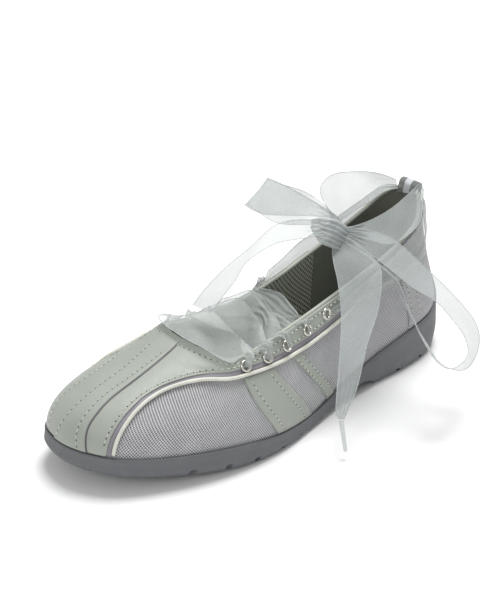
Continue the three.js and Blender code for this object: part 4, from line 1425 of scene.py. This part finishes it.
def make_piping(finish, trim):
    last = len(PIPING_ROWS) - 1
    s = np.linspace(0, last, 150)
    for name, side in SIDES.items():
        t, v = piping(name, s)[:, 0], piping(name, s)[:, 1]
        v = np.maximum(v, rim_share(side(t)) + 0.02)
        line = skin(side(t), v, GAP + 0.2 + PIPING_DIAMETER / 2)
        body = Build("piping_cord_" + name)
        tube(body, line, PIPING_DIAMETER / 2, 14, taper=0.8, normal=skin_normal(side(t), v))
        settle(body.object(finish), "piping_cord", "piping_" + name)

        def place(a, b):
            a, b = pair(a, b)
            near, near_v = beside_piping(name, a * last, TRIM_CLEAR[0])
            far, far_v = beside_piping(name, a * last, TRIM_CLEAR[1])
            t, v = mix(near, far, b), mix(near_v, far_v, b)
            return side(t), np.clip(v, rim_share(side(t)), EDGE_SHARE)

        faces = patch(place, 150, 6, 0.25, 0.55, 0.3, 0.35)
        body = shell("piping_trim_" + name, *faces, flip=name == "medial")
        settle(body.object(trim, sharp=SHARP), "mesh_cloth")


def band_place(band, name):
    side = SIDES[name]
    low_front, high_front, low_back, high_back = BANDS[band]

    def place(a, b):
        a, b = pair(a, b)
        t = mix(mix(low_front, low_back, a), mix(high_front, high_back, a), b)
        return side(t), mix(rim_share(side(t)), piping_share_at(name, t) - 0.02, b)
    return place


def make_bands(skin_leather):
    for band in BANDS:
        for name in SIDES:
            width_steps = 18 if band == "band_wide" else 8
            faces = patch(band_place(band, name), width_steps, 40, PANEL_GAP, LEATHER_THICK, 0.45, 0.3)
            body = shell(f"leather_{band}_{name}", *faces, flip=name == "medial")
            settle(body.object(skin_leather, sharp=SHARP), "smooth_leather", f"{band}_{name}")


def make_counter():
    def place(a, b):
        a, b = pair(a, b)
        t = mix(COUNTER_START, TURN - COUNTER_START, a)
        return t, mix(rim_share(t), 0.975, b)

    body = shell("counter_mesh", *patch(place, 110, 30, PANEL_GAP, COUNTER_THICK, 0.5, 0.5))
    settle(body.object(knit("ribbed_cloth", 0.16, 0.4, ribs=True), sharp=SHARP), "mesh_cloth", "heel_counter")


def ring_profile():
    """Turned outline of an eyelet: flat flange, rounded crown and barrel."""
    inner, outer, high = EYELET_HOLE / 2 + RING_CLEAR, EYELET_DIAMETER / 2, EYELET_HEIGHT - RING_FOOT
    middle, half = (inner + outer) / 2, (outer - inner) / 2
    turns = np.linspace(0, math.pi, 13)
    crown = [(middle + half * math.cos(a), RING_FOOT + high * math.sin(a)) for a in turns]
    barrel = [(inner, -RING_DEPTH), (inner + RING_WALL, -RING_DEPTH), (inner + RING_WALL, 0.0)]
    return [(outer - 0.1, 0.0)] + crown + barrel


def make_eyelets():
    finish = metal()
    turn = np.linspace(0, 2 * math.pi, 33)
    profile = np.array(ring_profile() + ring_profile()[:1])
    for name, side in SIDES.items():
        for k, (t, v) in enumerate(EYELETS, 1):
            out = skin_normal(side(t), v)
            spot = skin(side(t), v, LEATHER_TOP + 0.05)
            body = Build(f"ring_{name}_{k}")
            body.grid(spot + circle(out, turn)[:, None] * profile[None, :, :1] + out * profile[None, :, 1:])
            settle(body.object(finish, weld=0.002, sharp=50), "eyelet_metal", f"eyelet_{name}_{k}")


def make_pull_loop():
    half = LOOP_THICK / 2
    outside = COUNTER_THICK + half + 2 * PANEL_GAP
    inside = -UPPER_WALL - 2 * GAP - half
    across = np.linspace(-1, 1, 13) * LOOP_WIDTH / 2

    def legs(v, lift):
        reach = skin(SECTIONS - 1.0, v, lift)[0]
        return skin(SECTIONS - across / reach, v, lift)

    rows = [legs(v, outside) for v in np.linspace(0.83, 1, 8)]
    front, back = skin(float(SECTIONS), 1.0, outside), skin(float(SECTIONS), 1.0, inside)
    radius, y = (front[1] - back[1]) / 2, (front[1] + back[1]) / 2
    for angle in np.linspace(0, math.pi, 17):
        high = COLLAR_HEIGHT + LOOP_RISE - half - radius + radius * math.sin(angle)
        bow = 0.35 * math.sin(angle) * (1 - (across / across[-1]) ** 2)
        rows.append(np.stack([across, y + radius * math.cos(angle) + 0 * across, high + bow], -1))
    rows += [legs(v, inside) for v in np.linspace(1, 0.97, 4)]
    path = evenly(np.stack(rows).reshape(len(rows), -1), 70).reshape(70, -1, 3)
    out = unit(np.cross(np.gradient(path, axis=0), np.gradient(path, axis=1))) * LOOP_THICK * 0.4
    body = shell("webbing_loop", path + out, path - out, True, grid_sizes(path))
    settle(body.object(webbing(), weld=0.002, sharp=40), "webbing", "pull_loop")


def make_stitching():
    """Every stitch row, each a list of places on the skin with the lift of what it holds."""
    threads, hole_shades = Build("stitching"), Build("needle_hole_shades")
    last = len(PIPING_ROWS) - 1

    def row(t, v, lift):
        t, v = pair(t, v)
        line = skin(t, v, lift)
        even = evenly(np.concatenate([line, skin_normal(t, v)], -1), 4 * len(line))
        stitches(threads, even[:, :3], unit(even[:, 3:]), hole_shades)

    strip = smooth_rows(STRIP_ROWS[:-1], 60)
    strip = strip[strip[:, 0] > 0.1]
    for t in (strip[:, 2] + STRIP_STITCH[0] / TOE_REACH, strip[:, 1] - STRIP_STITCH[1] / TOE_REACH):
        row(t, np.maximum(strip[:, 0], rim_share(t)), LEATHER_TOP - 0.05 + STRIP_THICK)
    seam = smooth_rows(FAR_SEAM, 60)
    row(seam[:, 1], seam[:, 0], LEATHER_TOP)
    for name, side in SIDES.items():
        t, v = beside_piping(name, np.linspace(0.6, last - 0.6, 120), VAMP_CLEAR + STITCH_INSET)
        row(side(t), v, LEATHER_TOP)
        row(side(np.linspace(0.4, 9.0, 120)), THROAT_STITCH, LEATHER_TOP)
        for band, (low_front, _, low_back, _) in BANDS.items():
            across = STITCH_INSET / (SIDE_REACH * (low_back - low_front))
            for a in (across, 1 - across):
                row(*band_place(band, name)(a, np.linspace(0.05, 0.96, 40)), PANEL_GAP + LEATHER_THICK)
        for offset in (0.12, 0.4):
            row(side(COUNTER_START + offset), np.linspace(0.2, 0.93, 40), PANEL_GAP + COUNTER_THICK)
        row(side(np.linspace(9.4, SECTIONS - 0.8, 60)), 0.955, PANEL_GAP + COUNTER_THICK)
    settle(threads.object(thread("thread", THREAD_TONE, THREAD_SHADE), weld=0), "smooth_leather")
    # The needle holes are painted shade: dark discs with no hole under them
    settle(hole_shades.object(thread("hole", HOLE_SHADE_TONE, HOLE_SHADE_TONE), weld=0), "smooth_leather")


def ribbon_grid(table, count, columns, seed, waves=4.0, crisp=0.3, cloth=RIBBON_WIDTH):
    """Ribbon between two edges; where it is drawn narrower than its cloth it lies in pleats."""
    table = np.asarray(table, float)
    place = evenly(along(table, np.linspace(0, len(table) - 1, 12 * len(table))), count)
    a, b = place[:, :3], place[:, 3:]
    share = np.linspace(0, 1, columns)[None]
    grid = a[:, None] + (b - a)[:, None] * share[..., None]
    middle = (a + b) / 2
    tangent, across = unit(np.gradient(middle, axis=0)), unit(b - a)
    normal = unit(np.cross(tangent, across))
    run = lengths(middle)[:, None]
    width = np.linalg.norm(b - a, axis=1)[:, None]
    slack = np.clip(PLEAT_START * cloth / width - 1, 0, 3)
    depth = np.clip(width / (math.pi * waves) * np.sqrt(slack) * 1.1, 0, PLEAT_MOST)
    drift = 0.5 * np.sin(run / 23 + seed) + 0.2 * np.sin(run / 7.1 + 2 * seed)
    pleat = depth * np.sin(2 * math.pi * waves * share + 2 * drift + seed)
    ripple = np.sin(run / 7.3 + 5 * share + seed) + 0.5 * np.sin(run / 4.1 - 6 * share + 3 * seed)
    billow = np.sin(run / 17 + 3 * share + 1.7 * seed)
    fade = np.clip(np.minimum(run, run[-1] - run) / 6, 0.15, 1)
    soft = (RIPPLE * crisp * ripple + BILLOW * crisp * billow) * fade
    return grid + normal[:, None] * (pleat + soft)[..., None]


def add_ribbon(body, grid):
    """Sheer sheet with its two firmer woven edges; gives its middle line."""
    body.grid(grid)
    for line in (0, -1):
        tube(body, grid[:, line], SELVEDGE_RADIUS, 5, 1)
    return (grid[:, 0] + grid[:, -1]) / 2


def ribbon_pieces():
    finishes = [organza("organza", ORGANZA_ALPHA), organza("selvedge", SELVEDGE_ALPHA, SELVEDGE_TONE)]
    knot = make_knot(organza("organza_gathered", KNOT_ALPHA))
    tip = make_tip()
    for name, (parts, count, seed, length, far_end, nodes) in FREE_RIBBONS.items():
        body = Build(name)
        grid = ribbon_grid(np.concatenate(parts), count, 17, crisp=FREE_CRISP, seed=seed)
        route = add_ribbon(body, grid) * MM
        piece = settle(body.object(finishes, weld=0, outward=False), "sheer_ribbon", *nodes)
    # Laced and wrapped ribbon is the same organza painted lighter than the free loops, as painted light
    laced = [organza("organza_laced_lit", LACED_ALPHA, LACED_LIT_LIGHT, LACED_LIT_DARK, LACED_CRINKLE), finishes[1]]
    make_wraps(laced)
    make_lacing(laced)


def make_knot(finish):
    """Ribbon drawn tight round the crossing, its cloth in folds that run into the loops."""
    body = Build("knot_folds")
    u, w = np.linspace(0, 2 * math.pi, 121)[:, None], np.linspace(0, math.pi, 33)[None]
    for axis, size, seed in KNOT_AXES:
        fold = 1 + 0.07 * np.sin(9 * u + 1.5 * np.sin(2 * w) + seed) + 0.035 * np.sin(21 * u - 2 * w + 2 * seed)
        pole = unit(np.array(axis))
        spread = circle(pole, u[:, 0])[:, None] * (np.sin(w) ** 0.8 * fold)[..., None]
        body.grid(KNOT + (spread + np.cos(w)[..., None] * pole) * KNOT_SIZE * size)
    body.grid(ribbon_grid(KNOT_BAND, 60, 61, waves=6.0, seed=0.7, cloth=KNOT_CLOTH))
    return settle(body.object(finish, weld=0.01, outward=False), "sheer_ribbon", "ribbon_knot")


def make_tip():
    """Rolled plastic tip with a seam and a turned-in end."""
    lean = unit(AGLET_LEAN)
    turn = np.linspace(0, 2 * math.pi, 25)
    roll = AGLET_DIAMETER / 2 * (1 + 0.05 * np.exp(-((turn - math.pi) / 0.25) ** 2))
    ring = circle(lean, turn) * roll[:, None]
    body = Build("tip")
    body.grid(np.stack([AGLET_TOP + lean * depth + ring * share for depth, share in TIP_ROWS]))
    return settle(body.object(tip_plastic(), weld=0.002, sharp=50), "ribbon_tip", "aglet")


def make_wraps(finishes):
    """Ribbon lying outside the collar from the last eyelet to the pull loop."""
    rows = smooth_rows(WRAP_TABLE, 80)
    b, run = np.linspace(0, 1, 19)[None], np.linspace(0, 1, len(rows))[:, None]
    fold = 0.55 * np.sin(19 * b + 5 * run) + 0.3 * np.sin(31 * run + 7 * b)
    ridge = WRAP_FOLD[1] * np.exp(-((b - WRAP_FOLD[0]) / 0.05) ** 2) * np.clip(4 * run, 0, 1)
    for name, side in SIDES.items():
        t, v = pair(rows[:, :1], mix(rows[:, 1:2], rows[:, 2:3], b))
        lift = rows[:, 3:4] + fold * np.clip(6 * run, 0, 1) * 0.5 + ridge
        if name == "medial":
            places, rise, bulge = MEDIAL_RISE.T
            v = v + b * np.interp(t, places, rise)
            lift = lift + b * np.interp(t, places, bulge)
        body = Build("ribbon_wrapped_" + name)
        add_ribbon(body, skin(side(t), v, lift))
        piece = settle(body.object(finishes, weld=0, outward=False), "sheer_ribbon", "ribbon_wrap_" + name)


def lacing_bar(lateral, medial, lateral_out, medial_out, middle):
    """Edges of one lacing bar, gathered into a lateral eyelet and into a medial one."""
    def gather(eyelet, side, outside):
        """Passage from the bar through an eyelet, over the edge when it lies outside."""
        t, v = side(EYELETS[eyelet][0]), EYELETS[eyelet][1]
        run = unit(skin(t + 0.1, v, 0.0) - skin(t - 0.1, v, 0.0))
        front = run * np.sign(-run[1])
        beyond = LACE_OUTSIDE if outside else LACE_INSIDE
        places = [LACE_LIP] * outside + [(v, *place) for place in beyond]
        return [np.concatenate([skin(t, high, lift) + front * half, skin(t, high, lift) - front * half])
                for high, lift, half in places]

    start = gather(medial, SIDES["medial"], medial_out)[::-1]
    return np.array(start + list(middle) + gather(lateral, SIDES["lateral"], lateral_out))


def make_lacing(finishes):
    body = Build("ribbon_laced")
    for k, bar in enumerate(LACING_BARS.values()):
        add_ribbon(body, ribbon_grid(lacing_bar(*bar), 90, 21, waves=3.0, crisp=LACING_CRISP, seed=0.8 * k))
    piece = settle(body.object(finishes, weld=0, outward=False), "sheer_ribbon", "ribbon_lacing")


def main():
    make_camera()
    ribbon_pieces()
    make_light()
    make_floor()
    make_sole()
    make_footbed()
    make_upper()
    make_lining()
    make_binding()
    skin_leather = leather()
    make_vamp(skin_leather)
    make_strip(skin_leather)
    make_bands(skin_leather)
    make_piping(cord_cover(), plain_cloth("trim_cloth", TRIM_LIGHT, TRIM_DARK, 0.7, 0.08))
    make_counter()
    make_eyelets()
    make_pull_loop()
    make_stitching()


main()
